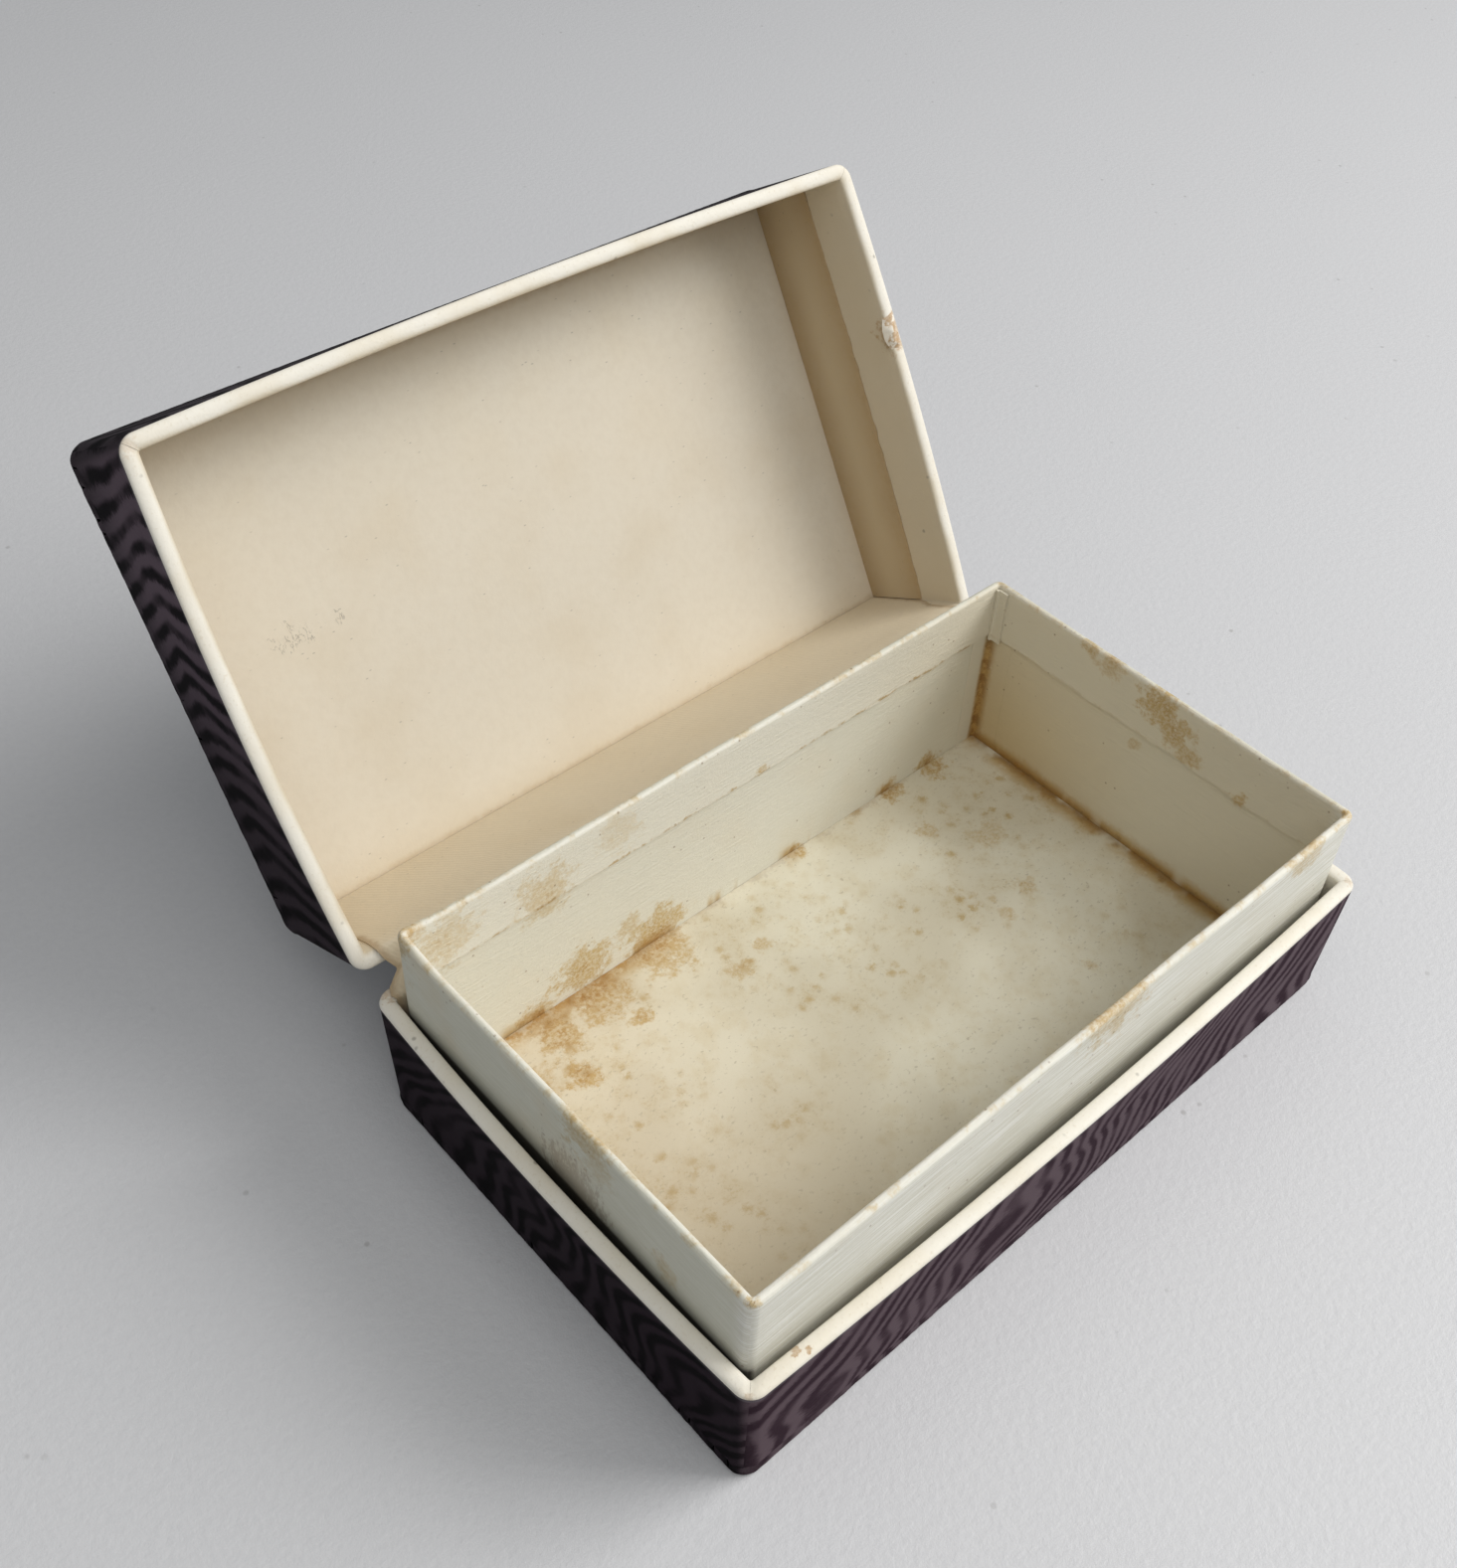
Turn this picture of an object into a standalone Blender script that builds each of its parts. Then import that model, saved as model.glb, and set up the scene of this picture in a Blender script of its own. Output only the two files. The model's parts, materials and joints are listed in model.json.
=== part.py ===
"""Hinged rigid paper box: a board base with a raised neck, and a deep lid on a folded paper hinge.

Metres, +Z up. The origin is the centre of the underside, +X runs along the box and +Y points
at the hinge. The lid stands open: its pieces are made as they lie on the closed box, and hang
from the empty lid_hinge_axis, whose turn about X swings them open.
"""
import math

import bmesh
import bpy
from mathutils import Matrix, Vector

# Outer sizes
LENGTH = 0.1016
WIDTH = 0.0630
BASE_DEPTH = 0.0192
LID_DEPTH = 0.0200
NECK_TOP = 0.0305
CORNER_RADIUS = 0.0022
SMALLEST_RADIUS = 0.00025
WALL_BOW = 0.0008       # how far the free edge of each wall stands out in the middle
WALL_DRAFT = 0.0005     # how far the closed end of a wall stands in from its rim

# Calipers of the papers and boards, and the glue line left between two of them
GLUE = 0.00012
PAPER = 0.0002
STAY_PAPER = 0.00015
HINGE_PAPER = 0.00015
BOARD = 0.0010
NECK_PAPER = 0.00015
NECK_BOARD = 0.00045
FLOOR_CARD = 0.00055

# How far each layer's outer face stands in from the outer face of the wall
STAY_INSET = PAPER + GLUE
BOARD_INSET = STAY_INSET + STAY_PAPER + GLUE
LINING_INSET = BOARD_INSET + BOARD + GLUE
WALL = LINING_INSET + PAPER

# How far each layer's outer face stands in from the closed end of its tray
FLANGE_HEIGHT = PAPER + GLUE
BOARD_HEIGHT = FLANGE_HEIGHT + PAPER + GLUE
FLOOR_HEIGHT = BOARD_HEIGHT + BOARD + GLUE

# Folded edges and overlaps
BEAD_RADIUS = 0.0005    # rounding of the paper over a rim
BEAD_DROP = 0.0006      # rim strip's cut edge on the outside, below the rim
BASE_TURN_IN = 0.0055   # rim strip's cut edge inside the base, below the rim
LID_TURN_IN = 0.0082    # rim strip's cut edge inside the lid, from the rim
BOARD_DROP = 0.0004     # board's own edge, below the rim
FLANGE = 0.010          # wrap turned over the closed end
SHEET_MARGIN = 0.0009   # closed end left bare round the pasted sheet
STAY_REACH = 0.009      # corner stay on each of its two walls
STAY_DROP = 0.0010      # corner stay's end, below the rim

# Neck: gaps between the wall's inner face and the neck
NECK_SIDE_GAP = 0.00055
NECK_BACK_GAP = 0.0009
NECK_FRONT_GAP = 0.0011
NECK_RADIUS = 0.0012
NECK_BEAD = 0.0004
NECK_TURN_IN = 0.0085
NECK_BOARD_DROP = 0.0003
NECK_JOINT_GAP = 0.0003
TAPE_REACH = 0.0045

# Hinge: the paper folds double between the two rims
OPEN_ANGLE = math.radians(120.4)
RIM_GAP = 0.00075
HINGE_SETBACK = 0.0012
HINGE_MARGIN = 0.0028   # end wall to end of the hinge paper
HINGE_TIP_GAP = 0.0001
HINGE_DROP = 0.008      # hinge paper pasted on the base's back wall, below the rim
AXIS = Vector((0, WIDTH / 2 + HINGE_SETBACK, BASE_DEPTH + RIM_GAP / 2))

# Steps of each curved outline
HALF_ARC_STEPS = 2
SIDE_STEPS = 6

SIDES = ("front", "right", "back", "left")

MOIRE = ((0.060, 0.040, 0.058), 0.62)
CREAM = ((0.72, 0.66, 0.53), 0.70)
NECK_CREAM = ((0.66, 0.64, 0.54), 0.70)
CHIPBOARD = ((0.42, 0.36, 0.27), 0.88)
KRAFT = ((0.48, 0.35, 0.21), 0.80)


def half_arc(start, centre, radius):
    """Points of an eighth of a circle from the start angle, measured from the outward direction."""
    turns = [math.radians(start + 45 * step / HALF_ARC_STEPS) for step in range(HALF_ARC_STEPS + 1)]
    return [(centre[0] + radius * math.sin(turn), centre[1] + radius * math.cos(turn)) for turn in turns]


def bowed(along, straight, reach, bow):
    """A point of a side that stands out by the bow in its middle."""
    return along, reach + bow * (1 - (along / straight) ** 2)


def turned(points, index):
    """Points given along and outward from a side, turned to the side of that index."""
    quarter = Matrix.Rotation(math.radians(90 * index), 2)
    return [quarter @ Vector((along, -outward)) for along, outward in points]


def side_points(index, half_x, half_y, radius, bow, trim=0.0):
    """One side, anticlockwise, from the middle of a corner to the middle of the next one."""
    half_run, reach = (half_x, half_y) if index % 2 == 0 else (half_y, half_x)
    straight = half_run - radius
    first = half_arc(-45, (-straight, reach - radius), radius)
    last = half_arc(0, (straight, reach - radius), radius)
    runs = [straight * (2 * step / SIDE_STEPS - 1) for step in range(1, SIDE_STEPS)]
    points = first + [bowed(along, straight, reach, bow) for along in runs] + last
    shift = trim * math.sqrt(0.5)
    points[0] = (points[0][0] + shift, points[0][1] + shift)
    points[-1] = (points[-1][0] - shift, points[-1][1] + shift)
    return turned(points, index)


def outline(half_x, half_y, radius, bow, sides=SIDES):
    """Bowed sides joined by corner arcs: a closed loop of all four, or an open run of fewer."""
    trim = GLUE / 2 if len(sides) < len(SIDES) else 0.0
    points = []
    for side in sides:
        run = side_points(SIDES.index(side), half_x, half_y, radius, bow, trim)
        points += run if not points else run[1:]
    return points if len(sides) < len(SIDES) else points[:-1]


def corner_outline(index, half_x, half_y, radius, bow, reach_along):
    """The run round the corner after the side of that index, reaching along both of its walls."""
    run, reach = (half_x, half_y) if index % 2 == 0 else (half_y, half_x)
    near = [bowed(run - radius - reach_along, run - radius, reach, bow)]
    near += half_arc(0, (run - radius, reach - radius), radius)
    run, reach = reach, run
    far = half_arc(-45, (radius - run, reach - radius), radius)
    far += [bowed(radius + reach_along - run, run - radius, reach, bow)]
    return turned(near, index) + turned(far[1:], index + 1)


class Tray:
    """Rings of a tray's walls at a layer and a height above the tray's closed end."""

    def __init__(self, depth, turn_in, closed_end, rise):
        self.depth = depth
        self.turn_in = turn_in
        self.closed_end = closed_end
        self.rise = rise
        self.away = Vector((0, 0, -rise))

    def sizes(self, inset, height):
        """Half sizes, corner radius and bow of the walls at a layer and a height."""
        lean = height / self.depth
        margin = inset + WALL_DRAFT * (1 - lean)
        radius = max(CORNER_RADIUS - inset, SMALLEST_RADIUS)
        return LENGTH / 2 - margin, WIDTH / 2 - margin, radius, WALL_BOW * lean

    def lift(self, points, height):
        """The outline's points at a height above the closed end."""
        return [Vector((x, y, self.closed_end + self.rise * height)) for x, y in points]

    def ring(self, inset, height, sides=SIDES):
        """A ring of the walls, or a run of some of them."""
        return self.lift(outline(*self.sizes(inset, height), sides), height)

    def corner(self, inset, height, index):
        """The run round the corner after the side of that index."""
        return self.lift(corner_outline(index, *self.sizes(inset, height), STAY_REACH), height)


BASE = Tray(BASE_DEPTH, BASE_TURN_IN, 0.0, 1)
LID = Tray(LID_DEPTH, LID_TURN_IN, BASE_DEPTH + RIM_GAP + LID_DEPTH, -1)


def neck_sizes(inset):
    """Half sizes and corner radius of the neck's outline at a layer."""
    half_x = LENGTH / 2 - WALL - NECK_SIDE_GAP - inset
    half_y = WIDTH / 2 - WALL - (NECK_FRONT_GAP + NECK_BACK_GAP) / 2 - inset
    return half_x, half_y, max(NECK_RADIUS - inset, SMALLEST_RADIUS), 0.0


def neck_lift(points, height):
    """Neck points at a height: the neck stands a little nearer the back wall than the front one."""
    backward = (NECK_FRONT_GAP - NECK_BACK_GAP) / 2
    return [Vector((x, y + backward, height)) for x, y in points]


def neck_ring(inset, height, sides=SIDES):
    """A ring of the neck's walls."""
    return neck_lift(outline(*neck_sizes(inset), sides), height)


def neck_corner(inset, height):
    """The run round the neck's back right corner, where the bent board meets itself."""
    return neck_lift(corner_outline(1, *neck_sizes(inset), TAPE_REACH), height)


def bead_section(wall, rim, radius, outer_drop, inner_drop):
    """Inset and height of paper folded over a rim, from its outer cut edge to its inner one."""
    rounding = radius * (1 - math.sqrt(0.5))
    return [
        (0.0, rim - outer_drop),
        (0.0, rim - radius),
        (rounding, rim - rounding),
        (radius, rim),
        (wall - radius, rim),
        (wall - rounding, rim - rounding),
        (wall, rim - radius),
        (wall, rim - inner_drop),
    ]


def dress(part, finish):
    """Give the part a material of its own with the finish's colour and roughness."""
    colour, roughness = finish
    material = bpy.data.materials.new(part.name)
    material.use_nodes = True
    shader = material.node_tree.nodes["Principled BSDF"]
    shader.inputs["Base Color"].default_value = (*colour, 1)
    shader.inputs["Roughness"].default_value = roughness
    shader.inputs["Metallic"].default_value = 0.0
    part.data.materials.append(material)


def sheet(name, rings, caliper, finish, holder, closed=True, floor=False, skin=None):
    """A sheet folded through the rings, which lie on its outer face.

    The rings are joined band by band, and the last one is filled for a floor. The first band's
    outer face looks away from the box, or a flat sheet's looks along skin.
    """
    mesh = bmesh.new()
    verts = [mesh.verts.new(point) for point in rings[0]]
    ends = verts[1:] + verts[:1] if closed else verts[1:]
    edges = [mesh.edges.new(pair) for pair in zip(verts, ends)]
    for ring in rings[1:]:
        order = {tuple(vert.co): place for place, vert in enumerate(verts)}
        grown = bmesh.ops.extrude_edge_only(mesh, edges=edges)["geom"]
        edges = [item for item in grown if isinstance(item, bmesh.types.BMEdge)]
        verts = sorted((item for item in grown if isinstance(item, bmesh.types.BMVert)),
                       key=lambda vert: order[tuple(vert.co)])
        for vert, point in zip(verts, ring):
            vert.co = point
    if floor:
        bmesh.ops.contextual_create(mesh, geom=edges)
    bmesh.ops.recalc_face_normals(mesh, faces=mesh.faces)
    mesh.faces.ensure_lookup_table()
    first = mesh.faces[0]
    outward = skin if skin else first.calc_center_median() * Vector((1, 1, 0))
    if first.normal.dot(outward) < 0:
        bmesh.ops.reverse_faces(mesh, faces=mesh.faces)
    bmesh.ops.translate(mesh, verts=mesh.verts, vec=-holder.location)
    data = bpy.data.meshes.new(name)
    mesh.to_mesh(data)
    mesh.free()
    part = bpy.data.objects.new(name, data)
    part.parent = holder
    holder.users_collection[0].objects.link(part)
    thickness = part.modifiers.new("caliper", "SOLIDIFY")
    thickness.thickness = caliper
    thickness.offset = -1
    thickness.use_even_offset = True
    thickness.use_quality_normals = True
    dress(part, finish)
    return part


def flat_sheet(name, ring, caliper, finish, holder, skin):
    """A flat sheet filling the ring, its outer face looking along skin."""
    return sheet(name, [ring], caliper, finish, holder, floor=True, skin=skin)


def tray_board(name, tray, holder):
    """Chipboard scored and folded up into a tray."""
    rings = [tray.ring(BOARD_INSET, tray.depth - BOARD_DROP), tray.ring(BOARD_INSET, BOARD_HEIGHT)]
    return sheet(name, rings, BOARD, CHIPBOARD, holder, floor=True)


def corner_stays(prefix, tray, holder):
    """Gummed paper round the outside of each folded corner of the board."""
    names = ("front_right", "back_right", "back_left", "front_left")
    for index, corner in enumerate(names):
        rings = [tray.corner(STAY_INSET, height, index) for height in (tray.depth - STAY_DROP, BOARD_HEIGHT)]
        sheet(f"{prefix}_corner_stay_{corner}", rings, STAY_PAPER, KRAFT, holder, closed=False)


def side_wrap(name, tray, holder):
    """Patterned paper round the walls, its edge turned over the closed end."""
    section = (
        (0.0, tray.depth - BEAD_DROP - GLUE),
        (0.0, FLANGE_HEIGHT),
        (FLANGE, FLANGE_HEIGHT),
    )
    return sheet(name, [tray.ring(*point) for point in section], PAPER, MOIRE, holder)


def rim_strips(prefix, tray, holder):
    """A cream strip folded over each wall's rim, mitred at the corners."""
    section = bead_section(WALL, tray.depth, BEAD_RADIUS, BEAD_DROP, tray.turn_in)
    for side in SIDES:
        rings = [tray.ring(*point, (side,)) for point in section]
        sheet(f"{prefix}_rim_strip_{side}", rings, PAPER, CREAM, holder, closed=False)


def open_joint(ring):
    """The closed ring opened at its first point, with the joint's gap between its two ends."""
    first = ring[0]
    ahead = (ring[1] - first).normalized()
    behind = (ring[-1] - first).normalized()
    return [first + ahead * NECK_JOINT_GAP / 2] + ring[1:] + [first + behind * NECK_JOINT_GAP / 2]


def neck_pieces(holder):
    """The raised neck: a bent strip of board, its cover, the tape on its joint and the floor card."""
    low = FLOOR_HEIGHT
    inner = NECK_PAPER + GLUE + NECK_BOARD + GLUE
    wall = inner + NECK_PAPER
    section = bead_section(wall, NECK_TOP, NECK_BEAD, NECK_TOP - low, NECK_TURN_IN)
    sheet("neck_wrap", [neck_ring(*point) for point in section], NECK_PAPER, NECK_CREAM, holder)

    board_top = NECK_TOP - NECK_PAPER - GLUE - NECK_BOARD_DROP
    from_joint = ("back", "left", "front", "right")
    band = [open_joint(neck_ring(NECK_PAPER + GLUE, height, from_joint)) for height in (board_top, low)]
    sheet("neck_board", band, NECK_BOARD, NECK_CREAM, holder, closed=False)

    tape_top = NECK_TOP - NECK_TURN_IN - GLUE
    card_top = low + FLOOR_CARD
    tape = [neck_corner(inner, height) for height in (tape_top, card_top + GLUE)]
    sheet("neck_joint_tape", tape, NECK_PAPER, NECK_CREAM, holder, closed=False)
    card = neck_ring(inner + NECK_PAPER, low)
    flat_sheet("compartment_floor_card", card, FLOOR_CARD, NECK_CREAM, holder, BASE.away)


def hinge_leaf(name, profile, holder):
    """Half of the hinge paper, from a back wall's inner face out over its rim to the fold."""
    half = LENGTH / 2 - HINGE_MARGIN
    rings = [[Vector((-half, y, z)), Vector((half, y, z))] for y, z in profile]
    sheet(name, rings, HINGE_PAPER, CREAM, holder, closed=False)


def hinge_paper(base, lid):
    """Both leaves of the hinge paper, which meet at the fold on the axis."""
    wall_face = WIDTH / 2 - WALL - GLUE
    tip = AXIS.y - HINGE_TIP_GAP
    over_base = BASE_DEPTH + GLUE
    under_lid = BASE_DEPTH + RIM_GAP - GLUE
    lining_end = LID.closed_end - FLOOR_HEIGHT - PAPER - GLUE
    base_profile = [(wall_face, BASE_DEPTH - HINGE_DROP), (wall_face, over_base), (tip, over_base)]
    lid_profile = [(wall_face - WALL_DRAFT, lining_end), (wall_face, under_lid), (tip, under_lid)]
    hinge_leaf("hinge_paper_base_leaf", base_profile, base)
    hinge_leaf("hinge_paper_lid_leaf", lid_profile, lid)


def build_base(holder):
    """The base tray with everything pasted on it and standing in it."""
    tray_board("base_board", BASE, holder)
    corner_stays("base", BASE, holder)
    side_wrap("base_side_wrap", BASE, holder)
    rim_strips("base", BASE, holder)
    flat_sheet("base_underside_sheet", BASE.ring(SHEET_MARGIN, 0), PAPER, CREAM, holder, BASE.away)
    neck_pieces(holder)


def build_lid(holder):
    """The lid tray with its cover and its linings."""
    tray_board("lid_board", LID, holder)
    corner_stays("lid", LID, holder)
    side_wrap("lid_side_wrap", LID, holder)
    rim_strips("lid", LID, holder)
    flat_sheet("lid_top_sheet", LID.ring(SHEET_MARGIN, 0), PAPER, MOIRE, holder, LID.away)
    panel = LID.ring(WALL + GLUE, FLOOR_HEIGHT)
    flat_sheet("lid_panel_lining", panel, PAPER, CREAM, holder, LID.away)
    heights = (LID.depth - LID.turn_in - GLUE, FLOOR_HEIGHT)
    walls = [LID.ring(LINING_INSET, height, ("left", "front", "right")) for height in heights]
    sheet("lid_wall_lining", walls, PAPER, CREAM, holder, closed=False)


def new_holder(name, collection, location):
    """An empty that a group of parts hangs from."""
    holder = bpy.data.objects.new(name, None)
    holder.location = location
    collection.objects.link(holder)
    return holder


def main():
    """Clear the scene, then build the base where it stands and the lid swung open."""
    for old in list(bpy.data.objects):
        bpy.data.objects.remove(old, do_unlink=True)
    collection = bpy.data.collections.new("hinged_paper_box")
    bpy.context.scene.collection.children.link(collection)
    base = new_holder("base_origin", collection, Vector((0, 0, 0)))
    lid = new_holder("lid_hinge_axis", collection, AXIS)
    build_base(base)
    build_lid(lid)
    hinge_paper(base, lid)
    lid.rotation_euler.x = -OPEN_ANGLE


main()
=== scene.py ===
"""Looks of a small old hinged box of rigid paperboard, standing open on a plain pale floor.

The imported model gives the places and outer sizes. Each sub-assembly is a class that shapes its
papers and boards as sheets folded through rows of points, and dresses them in a finish. Lengths
are metres. The lid's pieces are shaped as they lie on the closed box, and swung open afterwards.
"""

import json
import logging
import math
from collections.abc import Iterable, Sequence
from dataclasses import dataclass
from enum import Enum

import bmesh
import bpy
from mathutils import Matrix, Vector, noise


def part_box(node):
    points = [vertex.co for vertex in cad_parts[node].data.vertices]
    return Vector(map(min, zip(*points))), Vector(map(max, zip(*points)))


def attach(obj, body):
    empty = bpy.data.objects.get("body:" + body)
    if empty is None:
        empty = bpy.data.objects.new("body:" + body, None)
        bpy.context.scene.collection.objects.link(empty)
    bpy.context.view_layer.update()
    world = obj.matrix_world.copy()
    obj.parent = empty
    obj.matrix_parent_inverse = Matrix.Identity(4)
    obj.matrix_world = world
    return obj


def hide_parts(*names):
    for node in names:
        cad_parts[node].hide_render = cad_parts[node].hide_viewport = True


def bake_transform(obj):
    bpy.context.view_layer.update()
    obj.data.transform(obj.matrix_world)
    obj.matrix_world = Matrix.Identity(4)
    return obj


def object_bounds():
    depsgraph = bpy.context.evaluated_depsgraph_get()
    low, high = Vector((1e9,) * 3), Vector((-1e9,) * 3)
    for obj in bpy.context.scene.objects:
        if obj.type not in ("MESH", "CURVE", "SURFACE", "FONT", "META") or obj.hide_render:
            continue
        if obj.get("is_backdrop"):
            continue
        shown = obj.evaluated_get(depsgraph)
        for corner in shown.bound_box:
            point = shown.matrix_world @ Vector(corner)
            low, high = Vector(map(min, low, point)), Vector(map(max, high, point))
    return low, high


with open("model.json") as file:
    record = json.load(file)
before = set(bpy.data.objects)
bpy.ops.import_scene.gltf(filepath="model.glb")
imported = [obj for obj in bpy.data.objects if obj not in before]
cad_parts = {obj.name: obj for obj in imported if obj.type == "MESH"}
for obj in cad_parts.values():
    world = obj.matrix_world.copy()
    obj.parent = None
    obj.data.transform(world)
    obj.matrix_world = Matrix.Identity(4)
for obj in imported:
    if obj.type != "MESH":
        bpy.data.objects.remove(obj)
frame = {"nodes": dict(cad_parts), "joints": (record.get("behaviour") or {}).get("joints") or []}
CAD_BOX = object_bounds()
MM = 0.001
NOISE_SEED = 7          # fixes the offsets of vector noise, which Blender takes from the clock
LAY = "lay"             # UV map of a sheet: metres along its outline and across its rows

Colour = tuple[float, float, float]
Place = bpy.types.NodeSocket
Row = list[Vector]
log = logging.getLogger("paper_box")

STAIN: Colour = (0.74, 0.56, 0.29)
OCHRE: Colour = (0.42, 0.235, 0.075)
UMBER: Colour = (0.20, 0.10, 0.035)
DUST: Colour = (0.20, 0.18, 0.15)
# Near-black painted shade, laid down in the gaps between the neck and the base's rims.
GAP_SHADE: Colour = (0.022, 0.016, 0.011)


# ---------------------------------------------------------------- shader arithmetic


class Amount:
    """A number that varies over a surface. Arithmetic on it adds Math nodes to its recipe."""

    def __init__(self, recipe: "Recipe", socket: bpy.types.NodeSocket) -> None:
        """Wrap one socket of the recipe's node tree."""
        self.recipe = recipe
        self.socket = socket

    def __add__(self, other: "Amount | float") -> "Amount":
        """Sum."""
        return self.recipe.maths("ADD", self, other)

    def __sub__(self, other: "Amount | float") -> "Amount":
        """Difference."""
        return self.recipe.maths("SUBTRACT", self, other)

    def __mul__(self, other: "Amount | float") -> "Amount":
        """Product."""
        return self.recipe.maths("MULTIPLY", self, other)

    def __truediv__(self, other: "Amount | float") -> "Amount":
        """Quotient."""
        return self.recipe.maths("DIVIDE", self, other)

    def __rsub__(self, other: float) -> "Amount":
        """Difference from a plain number."""
        return self.recipe.maths("SUBTRACT", other, self)

    def __abs__(self) -> "Amount":
        """Size without sign."""
        return self.recipe.maths("ABSOLUTE", self)

    __radd__ = __add__
    __rmul__ = __mul__

    def most(self, other: "Amount | float") -> "Amount":
        """The larger of two amounts."""
        return self.recipe.maths("MAXIMUM", self, other)

    def least(self, other: "Amount | float") -> "Amount":
        """The smaller of two amounts."""
        return self.recipe.maths("MINIMUM", self, other)

    def wave(self) -> "Amount":
        """A wave from 0 to 1 and back, once for each whole number."""
        return self.recipe.maths("PINGPONG", self, 0.5) * 2

    def rise(self, low: float, high: float) -> "Amount":
        """A smooth step, rising, or falling where high is under low.

        Args:
            low: Value at which the step starts from 0.
            high: Value at which it reaches 1.

        Returns:
            The step.
        """
        if high < low:
            return 1 - self.rise(high, low)
        limits = {"From Min": low, "From Max": high}
        made = self.recipe.node("ShaderNodeMapRange", {"interpolation_type": "SMOOTHSTEP"},
                                {"Value": self, **limits})
        return Amount(self.recipe, made.outputs["Result"])


@dataclass(frozen=True)
class Spot:
    """A mark on a surface: its middle, how far it reaches, and how strong it is."""

    x: float
    y: float
    z: float
    reach: float
    strength: float = 1.0


def marks_at(x: float, y: float, z: float, *rows: tuple[float, ...]) -> tuple[Spot, ...]:
    """Marks from rows of offsets from a point and reaches, in millimetres, and strengths."""
    return tuple(Spot(x + right * MM, y + back * MM, z + up * MM, reach * MM, strength)
                 for right, back, up, reach, strength in rows)


class Recipe:
    """A material in the making."""

    def __init__(self, name: str) -> None:
        """Start a material with one Principled shader.

        Args:
            name: The material's name.
        """
        self.material = bpy.data.materials.new(name)
        self.material.use_nodes = True
        self.tree = self.material.node_tree
        self.shader = self.tree.nodes["Principled BSDF"]

    def node(self, kind: str, settings: dict[str, object] | None = None,
             values: dict[str | int, object] | None = None) -> bpy.types.Node:
        """Add a node.

        Args:
            kind: The node's type.
            settings: Its properties, set before the sockets are.
            values: A number, a colour, an Amount or a socket for each input, by name or place.

        Returns:
            The new node.
        """
        made = self.tree.nodes.new(kind)
        for key, value in (settings or {}).items():
            setattr(made, key, value)
        for key, value in (values or {}).items():
            self.feed(made.inputs[key], value)
        return made

    def feed(self, socket: bpy.types.NodeSocket, value: object) -> None:
        """Link an input, or set it to a plain value.

        Args:
            socket: The input.
            value: An Amount or a socket to link, or a number or colour to set.
        """
        source = value.socket if isinstance(value, Amount) else value
        if isinstance(source, bpy.types.NodeSocket):
            self.tree.links.new(source, socket)
        else:
            socket.default_value = source

    def maths(self, operation: str, first: object, second: object = 0.0) -> Amount:
        """Add a Math node and wrap its result."""
        made = self.node("ShaderNodeMath", {"operation": operation}, {0: first, 1: second})
        return Amount(self, made.outputs[0])

    def body_place(self) -> Place:
        """Points in the frame of the standing box."""
        return self.node("ShaderNodeTexCoord").outputs["Object"]

    def sheet_place(self) -> Place:
        """Points on the flat sheet: along its outline, and across its rows."""
        return self.node("ShaderNodeUVMap", {"uv_map": LAY}).outputs["UV"]

    def parts(self, place: Place) -> tuple[Amount, Amount, Amount]:
        """The three coordinates of a place."""
        made = self.node("ShaderNodeSeparateXYZ", None, {0: place})
        return tuple(Amount(self, socket) for socket in made.outputs)

    def point(self, x: object = 0.0, y: object = 0.0, z: object = 0.0) -> Place:
        """A place from three coordinates."""
        return self.node("ShaderNodeCombineXYZ", None, {0: x, 1: y, 2: z}).outputs[0]

    def stretch(self, place: Place, scale: Colour, shift: Colour = (0, 0, 0)) -> Place:
        """Scale a place on each axis, then shift it.

        Args:
            place: Where the surface is.
            scale: One factor for each axis.
            shift: What is added after that.

        Returns:
            The new place.
        """
        made = self.node("ShaderNodeVectorMath", {"operation": "MULTIPLY_ADD"},
                         {0: place, 1: scale, 2: shift})
        return made.outputs[0]

    def cloud(self, place: Place, size: float, detail: float = 2.0, rough: float = 0.5,
              twist: float = 0.0) -> Amount:
        """Smooth noise.

        Args:
            place: Where the surface is.
            size: About how far across its lumps are.
            detail: How many finer layers it has.
            rough: How strong each finer layer is.
            twist: How far it is swirled.

        Returns:
            Noise from 0 to 1.
        """
        values = {"Vector": place, "Scale": 1 / size, "Detail": detail, "Roughness": rough,
                  "Distortion": twist}
        return Amount(self, self.node("ShaderNodeTexNoise", None, values).outputs[0])

    def cells(self, place: Place, size: float) -> Amount:
        """Distance from the nearest of a scatter of points, in cells of that size."""
        values = {"Vector": place, "Scale": 1 / size, "Randomness": 1.0}
        return Amount(self, self.node("ShaderNodeTexVoronoi", None, values).outputs["Distance"])

    def blend(self, share: Amount | float, ground: object, over: object, kind: str = "MIX") -> Place:
        """Lay one colour over another.

        Args:
            share: How much of it, from 0 to 1.
            ground: The colour below.
            over: The colour above.
            kind: How the two mix.

        Returns:
            The mixed colour.
        """
        made = self.node("ShaderNodeMix", {"data_type": "RGBA", "blend_type": kind},
                         {0: share, 6: with_alpha(ground), 7: with_alpha(over)})
        return made.outputs[2]

    def stain(self, share: Amount, colour: Place, tint: Colour = STAIN) -> Place:
        """Soak a tint into a colour, which darkens it."""
        return self.blend(share, colour, tint, "MULTIPLY")

    def spots(self, place: Place, marks: Iterable[Spot], ragged: Amount) -> Amount:
        """Blots whose edges a noise breaks up.

        Args:
            place: Where the surface is.
            marks: Where the blots are.
            ragged: The noise.

        Returns:
            Their strength, from 0 to 1, or None without marks.
        """
        total = None
        for mark in marks:
            away = self.node("ShaderNodeVectorMath", {"operation": "DISTANCE"},
                             {0: place, 1: (mark.x, mark.y, mark.z)}).outputs["Value"]
            near = (Amount(self, away) / mark.reach + (ragged - 0.5) * 3.2).rise(0.98, 0.45)
            blot = near * mark.strength
            total = blot if total is None else total.most(blot)
        return total

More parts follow.
